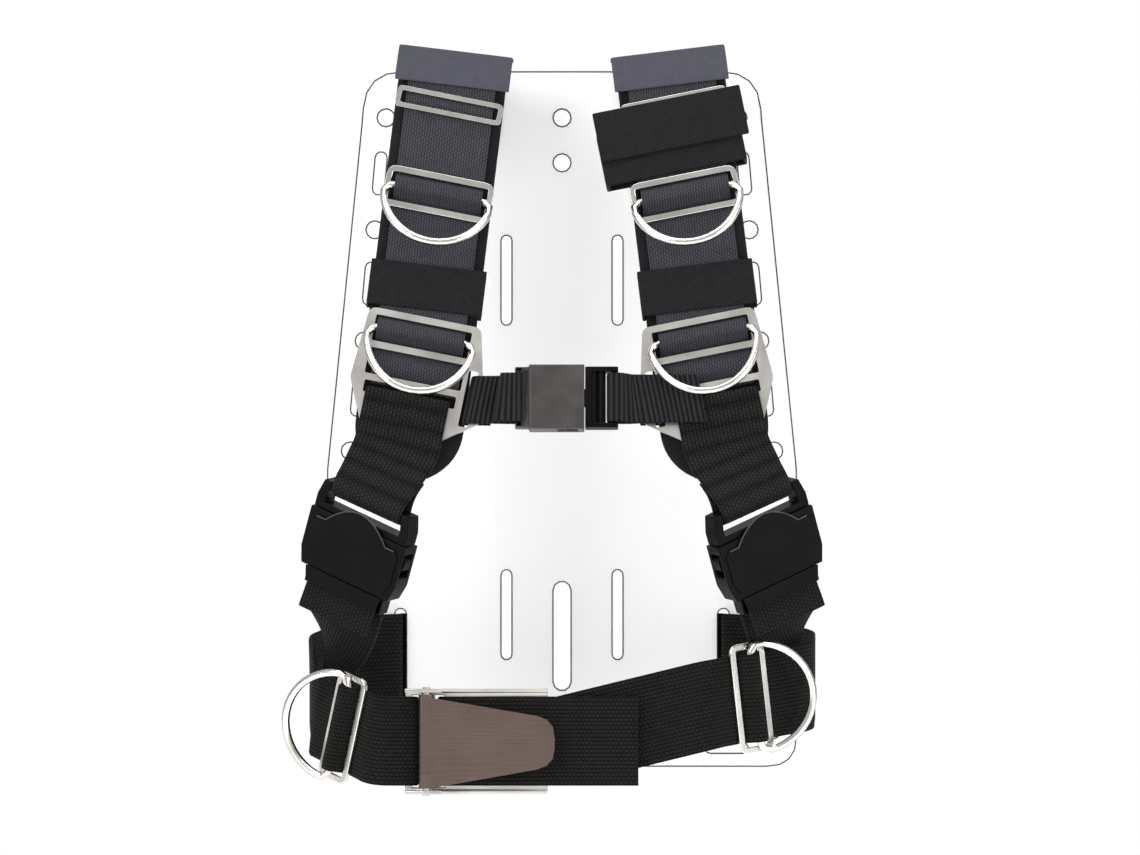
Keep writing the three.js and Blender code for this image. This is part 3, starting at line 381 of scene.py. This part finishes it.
# Each half's taper: where it starts and ends along the pull, and the share of the width left at its end.
SOCKET_TAPER = (-0.024, -0.035, 0.90)
PLUG_TAPER = (0.008, 0.017, 0.92)
hard_nodes = [node for node, slot in slot_of.items() if slot in METALS]
for node in hard_nodes:
    is_rod = "ring_left" in node or "ring_right" in node
    edge, sharp = (0, ROD_SHARP) if is_rod else (METAL_EDGE, SHARP)
    hard_piece(node, METALS[slot_of[node]], edge, sharp)
buckle_nodes = [node for node, slot in slot_of.items() if slot == "acetal"]
for node in buckle_nodes:
    moulding = chest_buckle_acetal if node == "chest_socket" else side_buckle_acetal
    hard_piece(node, moulding, MOULDED_EDGE)
for side in ("left", "right"):
    mouth, across, along, out = buckle_directions(f"quick_arm_inner_{side}", f"quick_arm_outer_{side}")
    narrowed(bpy.data.objects[f"quick_socket_{side}_finished"], mouth, across, along, *SOCKET_TAPER)
    narrowed(bpy.data.objects[f"quick_plug_{side}_finished"], mouth, across, along, *PLUG_TAPER)
print("metal pieces", len(hard_nodes), "moulded pieces", len(buckle_nodes))

# %% [markdown]
# ## The buckles' moulded faces
#
# The side buckles' sockets have a raised face that arches up over the plug, and a crease above their lower
# edge. It is drawn as an outline in the buckle's own directions and extruded, as a mould maker would cut it.
# The two arms' hinges stand level at the buckle's mouth, so they give its middle and its directions.

# %% Moulded faces
SOCKET_FACE = (0.0061, 0.0075)
ARCH_HALF, ARCH_RISE = 0.021, 0.012


def moulded_face(name, outline, heights, mouth, across, along, out, body):
    low, high = ([mouth + across * x + along * z + out * y for x, z in outline] for y in heights)
    count = len(outline)
    faces = [tuple(range(count)), tuple(range(2 * count - 1, count - 1, -1))]
    faces += [(k, count + k, count + (k + 1) % count, (k + 1) % count) for k in range(count)]
    mesh = bpy.data.meshes.new(name)
    mesh.from_pydata(low + high, [], faces)
    work = bmesh.new()
    work.from_mesh(mesh)
    bmesh.ops.recalc_face_normals(work, faces=work.faces)
    work.to_mesh(mesh)
    work.free()
    mesh.materials.append(side_buckle_acetal)
    face = bpy.data.objects.new(name, mesh)
    bpy.context.collection.objects.link(face)
    rounding = face.modifiers.new("rounded_rim", "BEVEL")
    rounding.width = 0.0007
    rounding.segments = 3
    rounding.limit_method = "ANGLE"
    rounding.angle_limit = math.radians(40)
    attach(face, body)


# The rims are painted highlights: thin beads of lighter plastic laid where a moulded edge would catch the
# light.
rim_highlight_acetal = acetal_finish(
    "rim_highlight_acetal", (0.022, 0.021, 0.020), (0.060, 0.057, 0.055), (0.22, 0.40), 0.4
)
RIM_RADIUS = 0.00038


def painted_highlight_rim(name, line, mouth, across, along, out, body):
    """A fine bright line along a moulded edge: a painted highlight, in lighter plastic."""
    curve = bpy.data.curves.new(name, "CURVE")
    curve.dimensions = "3D"
    curve.bevel_depth = RIM_RADIUS
    curve.use_fill_caps = True
    spline = curve.splines.new("POLY")
    spline.points.add(len(line) - 1)
    for point, (x, z) in zip(spline.points, line):
        point.co = (*(mouth + across * x + along * z + out * SOCKET_FACE[1]), 1)
    curve.materials.append(rim_highlight_acetal)
    rim = bpy.data.objects.new(name, curve)
    bpy.context.collection.objects.link(rim)
    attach(rim, body)


arch = [
    (ARCH_HALF * math.cos(math.radians(15 * k)), -0.004 + ARCH_RISE * math.sin(math.radians(15 * k)) ** 2)
    for k in range(13)
]
upper_outline = (
    [(-0.026, -0.031), (0.026, -0.031), (0.030, -0.023), (0.030, -0.006), (0.027, -0.004)]
    + arch
    + [(-0.027, -0.004), (-0.030, -0.006), (-0.030, -0.023)]
)
rim_line = [(-0.027, -0.004)] + arch[::-1] + [(0.027, -0.004)]
lower_outline = [(-0.024, -0.0425), (0.024, -0.0425), (0.0265, -0.0335), (-0.0265, -0.0335)]
for side in ("left", "right"):
    directions = buckle_directions(f"quick_arm_inner_{side}", f"quick_arm_outer_{side}")
    moulded_face(f"quick_face_{side}", upper_outline, SOCKET_FACE, *directions, "harness")
    moulded_face(f"quick_lip_{side}", lower_outline, SOCKET_FACE, *directions, "harness")
    painted_highlight_rim(f"quick_rim_highlight_{side}", rim_line, *directions, "harness")

# %% [markdown]
# ## The chest plug's grip
#
# Between the plug's base and its end bar lies a ribbed grip that holds the webbing's fold from slipping.
# It is a thin web with ribs across it, moulded in one with the side rails.

# %% Chest grip
GRIP_HALF, GRIP_START, GRIP_END = 0.0150, 0.0038, 0.0123
GRIP_WEB, GRIP_RIB = (-0.0012, 0.0008), (0.0004, 0.0034)
GRIP_RIBS = (0.0056, 0.0096)
GRIP_RIB_HALF = 0.0011


def across_strip(start, end):
    return [(-GRIP_HALF, start), (GRIP_HALF, start), (GRIP_HALF, end), (-GRIP_HALF, end)]


chest_directions = buckle_directions("chest_arm_lower", "chest_arm_upper")
moulded_face("chest_grip_web", across_strip(GRIP_START, GRIP_END), GRIP_WEB, *chest_directions, "harness")
for number, middle in enumerate(GRIP_RIBS):
    rib = across_strip(middle - GRIP_RIB_HALF, middle + GRIP_RIB_HALF)
    moulded_face(f"chest_grip_rib_{number}", rib, GRIP_RIB, *chest_directions, "harness")

# %% [markdown]
# ## The back plate
#
# The plate is pale and flat, and its outline, slots and holes are its only features.
# Each edge has painted shade, which draws every opening as a fine dark line.
# A bevel would have to cut a flat face that is full of holes, and it tears such a face into slivers.
# So the painted shade is a hair-thin dark bead of its own, laid along each closed loop of sharp edges.

# %% Plate finishes
pale_coat, coat_tree, coat_shader = new_finish("pale_coat")
coat_mottle = noise(coat_tree, object_place(coat_tree), 35, 5)
coat_peel = noise(coat_tree, object_place(coat_tree), 700, 2)
wire(
    coat_tree,
    ramp(coat_tree, coat_mottle, (0.955, 0.955, 0.95), (0.97, 0.97, 0.965), 0.3, 0.7),
    coat_shader.inputs["Base Color"],
)
wire(coat_tree, spread(coat_tree, coat_mottle, 0.42, 0.6), coat_shader.inputs["Roughness"])
relief(coat_tree, coat_shader, coat_peel, 0.00004)

# The beads' near-black finish is painted shade along the plate's edges, mottled a little at random.
edge_shade_finish, edge_shade_tree, edge_shade_shader = new_finish("painted_edge_shade")
edge_shade_mottle = noise(edge_shade_tree, object_place(edge_shade_tree), 300, 4)
edge_shade_colour = ramp(edge_shade_tree, edge_shade_mottle, (0.008, 0.008, 0.008), (0.035, 0.034, 0.032))
wire(edge_shade_tree, edge_shade_colour, edge_shade_shader.inputs["Base Color"])
wire(edge_shade_tree, spread(edge_shade_tree, edge_shade_mottle, 0.45, 0.7), edge_shade_shader.inputs["Roughness"])

# %% Plate and its painted edge shade
EDGE_SHADE_RADIUS = 0.00042
SHARP_PLATE_EDGE = math.radians(50)

plate = hard_piece("back_plate", pale_coat, 0)


def closed_loops(mesh):
    """The loops of edges where the plate's flat faces turn into its walls."""
    work = bmesh.new()
    work.from_mesh(mesh)
    flat = [e for e in work.edges if abs(e.verts[0].co.y - e.verts[1].co.y) < 0.0001]
    sharp = [e for e in flat if len(e.link_faces) == 2 and e.calc_face_angle() > SHARP_PLATE_EDGE]
    beside = {}
    for edge in sharp:
        for vert in edge.verts:
            beside.setdefault(vert.index, []).append(edge.other_vert(vert).index)
    work.verts.ensure_lookup_table()
    loops, seen = [], set()
    for start in beside:
        loop, here = [], start
        while here is not None and here not in seen:
            seen.add(here)
            loop.append(work.verts[here].co.copy())
            here = next((other for other in beside[here] if other not in seen), None)
        if len(loop) > 2:
            loops.append(loop)
    work.free()
    return loops


# Each closed loop of sharp edges gets a thin dark bead of painted shade.
edge_curve = bpy.data.curves.new("plate_edge_shade", "CURVE")
edge_curve.dimensions = "3D"
edge_curve.bevel_depth = EDGE_SHADE_RADIUS
edge_curve.bevel_resolution = 1
for loop in closed_loops(plate.data):
    spline = edge_curve.splines.new("POLY")
    spline.points.add(len(loop) - 1)
    for point, place in zip(spline.points, loop):
        point.co = (*place, 1)
    spline.use_cyclic_u = True
edge_curve.materials.append(edge_shade_finish)
edge_shade_beads = bpy.data.objects.new("plate_edge_shade", edge_curve)
bpy.context.collection.objects.link(edge_shade_beads)
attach(edge_shade_beads, "harness")
print("edge shade loops", len(edge_curve.splines))

# %% [markdown]
# ## Reading a strap's line from its plain strip
#
# Each CAD strap is a strip with four corners to a row. Walking from one end, mesh edge by mesh edge,
# meets the rows in order. A row's two short sides are the strap's thickness, and what joins their middles is
# its width.
# That gives the centre, width and thickness at every row, and so a real length along the strap for the weave.

# %% Strap rows


def rows_of_points(node):
    work = bmesh.new()
    work.from_mesh(frame["nodes"][node].data)
    bmesh.ops.remove_doubles(work, verts=work.verts, dist=0.00001)
    work.verts.ensure_lookup_table()
    beside = [{e.other_vert(v).index for e in v.link_edges} for v in work.verts]
    places = [v.co.copy() for v in work.verts]
    caps = [
        {v.index for v in face.verts} | {v.index for v in other.verts}
        for face in work.faces
        for edge in face.edges
        for other in edge.link_faces
        if other is not face
    ]
    work.free()
    for cap in caps:
        rows, seen, row = [], set(), set(cap)
        while len(row) == 4:
            rows.append([places[k] for k in row])
            seen |= row
            row = {n for k in row for n in beside[k]} - seen
        if not row and len(seen) == len(places):
            return rows
    raise ValueError(f"{node} isn't a plain strip")


def strap_rows(node):
    """Centre, half width and half thickness vectors, and length so far, at each row."""
    rows, before = [], None
    for a, b, c, d in rows_of_points(node):
        pairings = [((a, b), (c, d)), ((a, c), (b, d)), ((a, d), (b, c))]
        (p, q), (r, s) = min(pairings, key=lambda two: sum((x - y).length for x, y in two))
        if (p - q).dot(r - s) < 0:
            r, s = s, r
        width = ((r + s) - (p + q)) / 4
        thick = ((p - q) + (r - s)) / 4
        centre = (p + q + r + s) / 4
        length = 0.0
        if before:
            width = width if width.dot(before[1]) >= 0 else -width
            thick = thick if thick.dot(before[2]) >= 0 else -thick
            length = before[3] + (centre - before[0]).length
        before = (centre, width, thick, length)
        rows.append(before)
    return rows


# %% [markdown]
# ## Weaving a strap
#
# The rows are joined by a smooth curve and resampled, so a fold turns as cloth does and not in flats.
# A cross-section is full across nearly all its width and closes over a narrow rounded selvedge.
# The UV map holds real metres, across and along, so a thread is the same size everywhere on every strap.

# %% Lofted strap
SELVEDGE = [-1, -0.99, -0.96, -0.85, -0.55, 0, 0.55, 0.85, 0.96, 0.99, 1]


def between(before, start, end, after, t):
    """The Catmull-Rom curve through four values."""
    return 0.5 * (
        2 * start
        + (end - before) * t
        + (2 * before - 5 * start + 4 * end - after) * t * t
        + (3 * start - before - 3 * end + after) * t * t * t
    )


def resampled(rows, spacing):
    fine = []
    for k in range(len(rows) - 1):
        around = [rows[max(k - 1, 0)], rows[k], rows[k + 1], rows[min(k + 2, len(rows) - 1)]]
        steps = max(1, round((rows[k + 1][3] - rows[k][3]) / spacing))
        for step in range(steps):
            t = step / steps
            centre, width, thick = (between(*[row[part] for row in around], t) for part in range(3))
            fine.append((centre, width, thick, rows[k][3] + t * (rows[k + 1][3] - rows[k][3])))
    fine.append(rows[-1])
    return fine


def loft(name, rows, roundness, finish, across=SELVEDGE):
    """A closed strap. A high roundness keeps it flat to its edge; a low one crowns it like a pad."""
    ring = [(a, 1) for a in across] + [(a, -1) for a in reversed(across[1:-1])]
    points, uvs = [], []
    for centre, width, thick, length in rows:
        for a, face in ring:
            fullness = math.sqrt(max(0.0, 1 - abs(a) ** roundness))
            points.append(centre + width * a + thick * (face * fullness))
            uvs.append((a * width.length, length))
    around = len(ring)
    faces = []
    for row in range(0, (len(rows) - 1) * around, around):
        for k in range(around):
            beyond = (k + 1) % around
            faces.append((row + k, row + beyond, row + around + beyond, row + around + k))
    faces.append(tuple(reversed(range(around))))
    faces.append(tuple(range((len(rows) - 1) * around, len(rows) * around)))
    mesh = bpy.data.meshes.new(name)
    mesh.from_pydata(points, [], faces)
    layer = mesh.uv_layers.new(name="strap")
    for loop in mesh.loops:
        layer.data[loop.index].uv = uvs[loop.vertex_index]
    work = bmesh.new()
    work.from_mesh(mesh)
    bmesh.ops.recalc_face_normals(work, faces=work.faces)
    work.to_mesh(mesh)
    work.free()
    mesh.shade_smooth()
    mesh.materials.append(finish)
    piece = bpy.data.objects.new(name, mesh)
    bpy.context.collection.objects.link(piece)
    return piece


# %% [markdown]
# ## The weave
#
# Webbing is warp threads packed along the strap, with a weft thread that crosses and shows between them.
# Neighbouring warps rise over alternate wefts. That is drawn from the UV's metres: a rounded rib for each
# warp, and along each rib a row of beads, moved half a bead from its neighbour's. Grosgrain has no ribs along
# it, only ridges from edge to edge. Where a strap is sewn double, its layers also heave between the seams.
# The colour follows that height: the crests carry a painted highlight, and the hollows between threads
# and the folds at the seams carry painted shade.

# %% Webbing finishes
CLOTH_GLEAM, CLOTH_SHEEN = 0.06, 0.03


def humps(tree, count):
    """A row of rounded humps, one for each whole step of the count."""
    return calc(tree, "ABSOLUTE", calc(tree, "SINE", calc(tree, "MULTIPLY", count, math.pi)))


def woven_finish(name, warp, weft, dark, light, depth, grosgrain=False, heave=0.0):
    material, tree, shader = new_finish(name)
    strap = tree.nodes.new("ShaderNodeUVMap")
    strap.uv_map = "strap"
    parts = tree.nodes.new("ShaderNodeSeparateXYZ")
    tree.links.new(strap.outputs["UV"], parts.inputs["Vector"])
    crossing = calc(tree, "DIVIDE", parts.outputs["Y"], weft)
    if grosgrain:
        height = humps(tree, crossing)
    else:
        column = calc(tree, "DIVIDE", parts.outputs["X"], warp)
        shift = calc(tree, "MULTIPLY", calc(tree, "FLOOR", column), 0.5)
        rib = humps(tree, column)
        bump = humps(tree, calc(tree, "ADD", crossing, shift))
        beads = calc(tree, "ADD", calc(tree, "MULTIPLY", bump, 0.6), 0.4)
        height = calc(tree, "MULTIPLY", calc(tree, "POWER", rib, 0.6), beads)
    # The heave shapes the bump, and it also darkens the colour towards each seam as painted shade.
    if heave:
        swing = calc(tree, "SINE", calc(tree, "MULTIPLY", parts.outputs["Y"], math.pi / heave))
        seam_fold_shade_and_lift = calc(tree, "ADD", calc(tree, "MULTIPLY", calc(tree, "ABSOLUTE", swing), 0.65), 0.35)
        height = calc(tree, "MULTIPLY", height, seam_fold_shade_and_lift)
    fuzz = noise(tree, object_place(tree), 260, 5)
    # Painted light: the base colour follows the weave's height. It is lighter on the crests as a painted
    # highlight and darker in the hollows and seam folds as painted shade. The fuzz is the yarn's own random
    # tone.
    shade = calc(tree, "ADD", calc(tree, "MULTIPLY", height, 0.75), calc(tree, "MULTIPLY", fuzz, 0.35))
    wire(tree, ramp(tree, shade, dark, light, 0.15, 1.0), shader.inputs["Base Color"])
    wire(tree, spread(tree, fuzz, 0.7, 0.92), shader.inputs["Roughness"])
    shader.inputs["Specular IOR Level"].default_value = CLOTH_GLEAM
    shader.inputs["Sheen Weight"].default_value = CLOTH_SHEEN
    shader.inputs["Sheen Roughness"].default_value = 0.5
    relief(tree, shader, height, depth)
    return material


shoulder_weave = woven_finish(
    "shoulder_weave", 0.0015, 0.0024, (0.011, 0.011, 0.013), (0.062, 0.063, 0.074), 0.0004
)
belt_weave = woven_finish(
    "belt_weave", 0.0022, 0.0024, (0.0003, 0.0003, 0.0003), (0.0175, 0.0166, 0.0158), 0.0009
)
drop_weave = woven_finish(
    "drop_weave", 0.0021, 0.0023, (0.0003, 0.0003, 0.0003), (0.0270, 0.0255, 0.0248), 0.0010, heave=0.0105
)
chest_weave = woven_finish(
    "chest_weave", 0.0022, 0.0027, (0.0008, 0.0008, 0.0009), (0.0260, 0.0260, 0.0290), 0.0010, grosgrain=True
)
sleeve_cloth = woven_finish(
    "sleeve_cloth", 0.0008, 0.0008, (0.044, 0.044, 0.056), (0.100, 0.100, 0.127), 0.0003
)
pad_cloth = woven_finish(
    "pad_cloth", 0.0009, 0.0009, (0.004, 0.004, 0.005), (0.018, 0.018, 0.022), 0.0002
)

# %% [markdown]
# ## The straps
#
# Every strap is woven the same way and differs only in its weave, so one loop makes them all.
# The printed lengths are those along each strap, folds included.

# %% Straps
WEAVE_STEP = 0.0016
FLAT_WEBBING = 40

STRAP_WEAVES = {
    "shoulder_webbing": shoulder_weave,
    "drop_webbing": drop_weave,
    "lower_webbing": belt_weave,
    "waist_webbing": belt_weave,
    "chest_webbing": chest_weave,
    "shoulder_sleeve": sleeve_cloth,
}
for kind, weave in STRAP_WEAVES.items():
    for side in ("left", "right"):
        node = f"{kind}_{side}"
        rows = strap_rows(node)
        strap = loft(f"{node}_woven", resampled(rows, WEAVE_STEP), FLAT_WEBBING, weave)
        stand_for(strap, node)
        print(node, "length", round(rows[-1][3] * 1000), "mm")

# %% [markdown]
# ## Stitching
#
# Where webbing folds back on itself it is sewn with rows of heavy thread. Each stitch lies on the cloth as a
# short rounded bead that sinks at both ends. The rows of one strap are joined in one mesh.

# %% Stitches
STITCH_LENGTH, STITCH_PITCH, STITCH_RADIUS = 0.0030, 0.0038, 0.00045
STITCH_SIDES, STITCH_RINGS = 6, 5
# One layer of the strap covers another that lies this near to it across and up, and this far behind it.
COVERS_X, COVERS_Z, LAYER_APART = 0.012, 0.006, 0.0018
SEAM_GAP, SEAMS_BELOW_MIDDLE, SEAMS_BELOW_TOP = 0.0075, 0.012, 0.010

thread, thread_tree, thread_shader = new_finish("sewing_thread")
ply = noise(thread_tree, object_place(thread_tree), 1500, 2)
thread_colour = ramp(thread_tree, ply, (0.004, 0.004, 0.004), (0.016, 0.016, 0.017))
wire(thread_tree, thread_colour, thread_shader.inputs["Base Color"])
wire(thread_tree, spread(thread_tree, ply, 0.5, 0.75), thread_shader.inputs["Roughness"])
thread_shader.inputs["Specular IOR Level"].default_value = 0.12
relief(thread_tree, thread_shader, ply, 0.0001)


def stitch_points(centre, along, side, up):
    points = []
    for ring in range(STITCH_RINGS):
        turn = math.pi * (ring + 0.5) / STITCH_RINGS
        for k in range(STITCH_SIDES):
            around = 2 * math.pi * k / STITCH_SIDES
            reach = STITCH_RADIUS * math.sin(turn)
            place = centre + along * (math.cos(turn) * STITCH_LENGTH / 2)
            points.append(place + side * (reach * math.cos(around)) + up * (reach * math.sin(around)))
    return points


def sew(name, rows, lengths, body):
    points, faces = [], []
    for wanted in lengths:
        centre, width, thick, length = min(rows, key=lambda row: abs(row[3] - wanted))
        out = thick if thick.y < 0 else -thick
        along, up = width.normalized(), out.normalized()
        count = int(2 * width.length * 0.9 / STITCH_PITCH)
        for k in range(count):
            middle = centre + along * ((k - (count - 1) / 2) * STITCH_PITCH) + out
            first = len(points)
            points += stitch_points(middle, along, along.cross(up), up)
            for ring in range(STITCH_RINGS - 1):
                for j in range(STITCH_SIDES):
                    a = first + ring * STITCH_SIDES + j
                    b = first + ring * STITCH_SIDES + (j + 1) % STITCH_SIDES
                    faces.append((a, b, b + STITCH_SIDES, a + STITCH_SIDES))
            faces.append(tuple(first + j for j in reversed(range(STITCH_SIDES))))
            last = first + (STITCH_RINGS - 1) * STITCH_SIDES
            faces.append(tuple(last + j for j in range(STITCH_SIDES)))
    mesh = bpy.data.meshes.new(name)
    mesh.from_pydata(points, [], faces)
    mesh.shade_smooth()
    mesh.materials.append(thread)
    seam = bpy.data.objects.new(name, mesh)
    bpy.context.collection.objects.link(seam)
    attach(seam, body)
    print(name, len(points) // (STITCH_SIDES * STITCH_RINGS), "stitches")


def facing_front(rows, start, end, gap):
    """Lengths, a gap apart, where the strap lies open to the front between two heights."""
    found = []
    for row in rows:
        centre, width, thick, length = row
        hidden = any(
            abs(other[0].x - centre.x) < COVERS_X
            and abs(other[0].z - centre.z) < COVERS_Z
            and other[0].y < centre.y - LAYER_APART
            for other in rows
        )
        if start <= centre.z <= end and not hidden and (not found or length - found[-1] >= gap):
            found.append(length)
    return found


for side in ("left", "right"):
    drop_rows = resampled(strap_rows(f"drop_webbing_{side}"), WEAVE_STEP)
    drop_low, drop_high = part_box(f"drop_webbing_{side}")
    middle = (drop_low[2] + drop_high[2]) / 2
    seams = facing_front(drop_rows, middle - SEAMS_BELOW_MIDDLE, drop_high[2] - SEAMS_BELOW_TOP, SEAM_GAP)
    sew(f"drop_seams_{side}", drop_rows, seams, "harness")

# %% [markdown]
# ## The shoulder pads
#
# A pad is foam in a cloth cover. It lies flat under the strap that presses on it and is full behind.
# Blowing the cover up as cloth gives that fullness. The strap holds the face that it lies on, so only what
# moves towards the wearer is kept. The move is capped, because foam, unlike air, doesn't balloon.

# %% Shoulder pads
PAD_STEP = 0.004
PAD_ROUNDNESS = 7
PAD_SWELL = 0.0016
PAD_PRESSURE, PAD_FRAMES = 4, 20
PAD_HALF = [0.16, 0.32, 0.48, 0.64, 0.78, 0.9, 0.97, 1]
PAD_ACROSS = [-share for share in reversed(PAD_HALF)] + [0] + PAD_HALF


def swell(pad, outward):
    """Inflates the pad as cloth, then keeps only what moved away from the strap, up to the cap."""
    cloth = pad.modifiers.new("cover", "CLOTH")
    cloth.settings.use_pressure = True
    cloth.settings.uniform_pressure_force = PAD_PRESSURE
    cloth.settings.effector_weights.gravity = 0
    cloth.point_cache.frame_end = PAD_FRAMES
    for number in range(1, PAD_FRAMES + 1):
        bpy.context.scene.frame_set(number)
    blown = pad.evaluated_get(bpy.context.evaluated_depsgraph_get())
    moved = [vertex.co.copy() for vertex in blown.data.vertices]
    pad.modifiers.remove(cloth)
    for vertex, place, out in zip(pad.data.vertices, moved, outward):
        away = max(0.0, (place - vertex.co).dot(out))
        vertex.co += out * min(away, PAD_SWELL)


for side in ("left", "right"):
    node = f"shoulder_pad_{side}"
    rows = resampled(strap_rows(node), PAD_STEP)
    pad = loft(f"{node}_stuffed", rows, PAD_ROUNDNESS, pad_cloth, PAD_ACROSS)
    strap_line = [row[0] for row in strap_rows(f"shoulder_webbing_{side}")]
    around = len(pad.data.vertices) // len(rows)
    outward = []
    for centre, width, thick, length in rows:
        nearest = min(strap_line, key=lambda point: (point - centre).length)
        away = thick.normalized() if thick.dot(centre - nearest) > 0 else -thick.normalized()
        outward.extend([away] * around)
    swell(pad, outward)
    rounding = pad.modifiers.new("rounding", "SUBSURF")
    rounding.levels = rounding.render_levels = 1
    stand_for(pad, node)

# %% [markdown]
# ## Elastic bands and the hose retainer
#
# Wide elastic holds each strap to its pad, and a folding band on one shoulder holds a hose.
# Both wrap round corners, and cloth rounds a corner with a radius of about its own thickness.
# Their weave runs at a slant, as knitted elastic does.

# %% Elastic
ELASTIC_CORNER = 0.0009
ELASTIC_PITCH = 0.0022

slant_elastic, elastic_tree, elastic_shader = new_finish("slant_elastic")
elastic_parts = elastic_tree.nodes.new("ShaderNodeSeparateXYZ")
wire(elastic_tree, object_place(elastic_tree), elastic_parts.inputs["Vector"])
slant = calc(
    elastic_tree,
    "ADD",
    calc(elastic_tree, "MULTIPLY", elastic_parts.outputs["X"], math.pi / ELASTIC_PITCH),
    calc(elastic_tree, "MULTIPLY", elastic_parts.outputs["Z"], math.pi / ELASTIC_PITCH),
)
slant_rib = calc(elastic_tree, "ABSOLUTE", calc(elastic_tree, "SINE", slant))
elastic_fuzz = noise(elastic_tree, object_place(elastic_tree), 300, 5)
# Painted light: the colour is lighter on each slanted rib's crest as a painted highlight and darker between
# the ribs as painted shade. The fuzz is the elastic's own random tone.
elastic_shade = calc(
    elastic_tree,
    "ADD",
    calc(elastic_tree, "MULTIPLY", slant_rib, 0.5),
    calc(elastic_tree, "MULTIPLY", elastic_fuzz, 0.5),
)
wire(
    elastic_tree,
    ramp(elastic_tree, elastic_shade, (0.005, 0.005, 0.0055), (0.020, 0.019, 0.021), 0.2, 0.9),
    elastic_shader.inputs["Base Color"],
)
wire(elastic_tree, spread(elastic_tree, elastic_fuzz, 0.65, 0.9), elastic_shader.inputs["Roughness"])
elastic_shader.inputs["Specular IOR Level"].default_value = CLOTH_GLEAM
elastic_shader.inputs["Sheen Weight"].default_value = CLOTH_SHEEN
relief(elastic_tree, elastic_shader, slant_rib, 0.0003)

for node in ("elastic_band_left", "elastic_band_right", "retainer_band", "retainer_flap"):
    hard_piece(node, slant_elastic, ELASTIC_CORNER)

# %% [markdown]
# ## Sizes and the end
#
# The finished model's box is measured against the CAD's, and the largest change is printed.

# %% Finish
seen_low, seen_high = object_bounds()
largest = max((seen_high - cad_high).length, (seen_low - cad_low).length)
print("largest change", round(1000 * largest, 1), "mm")
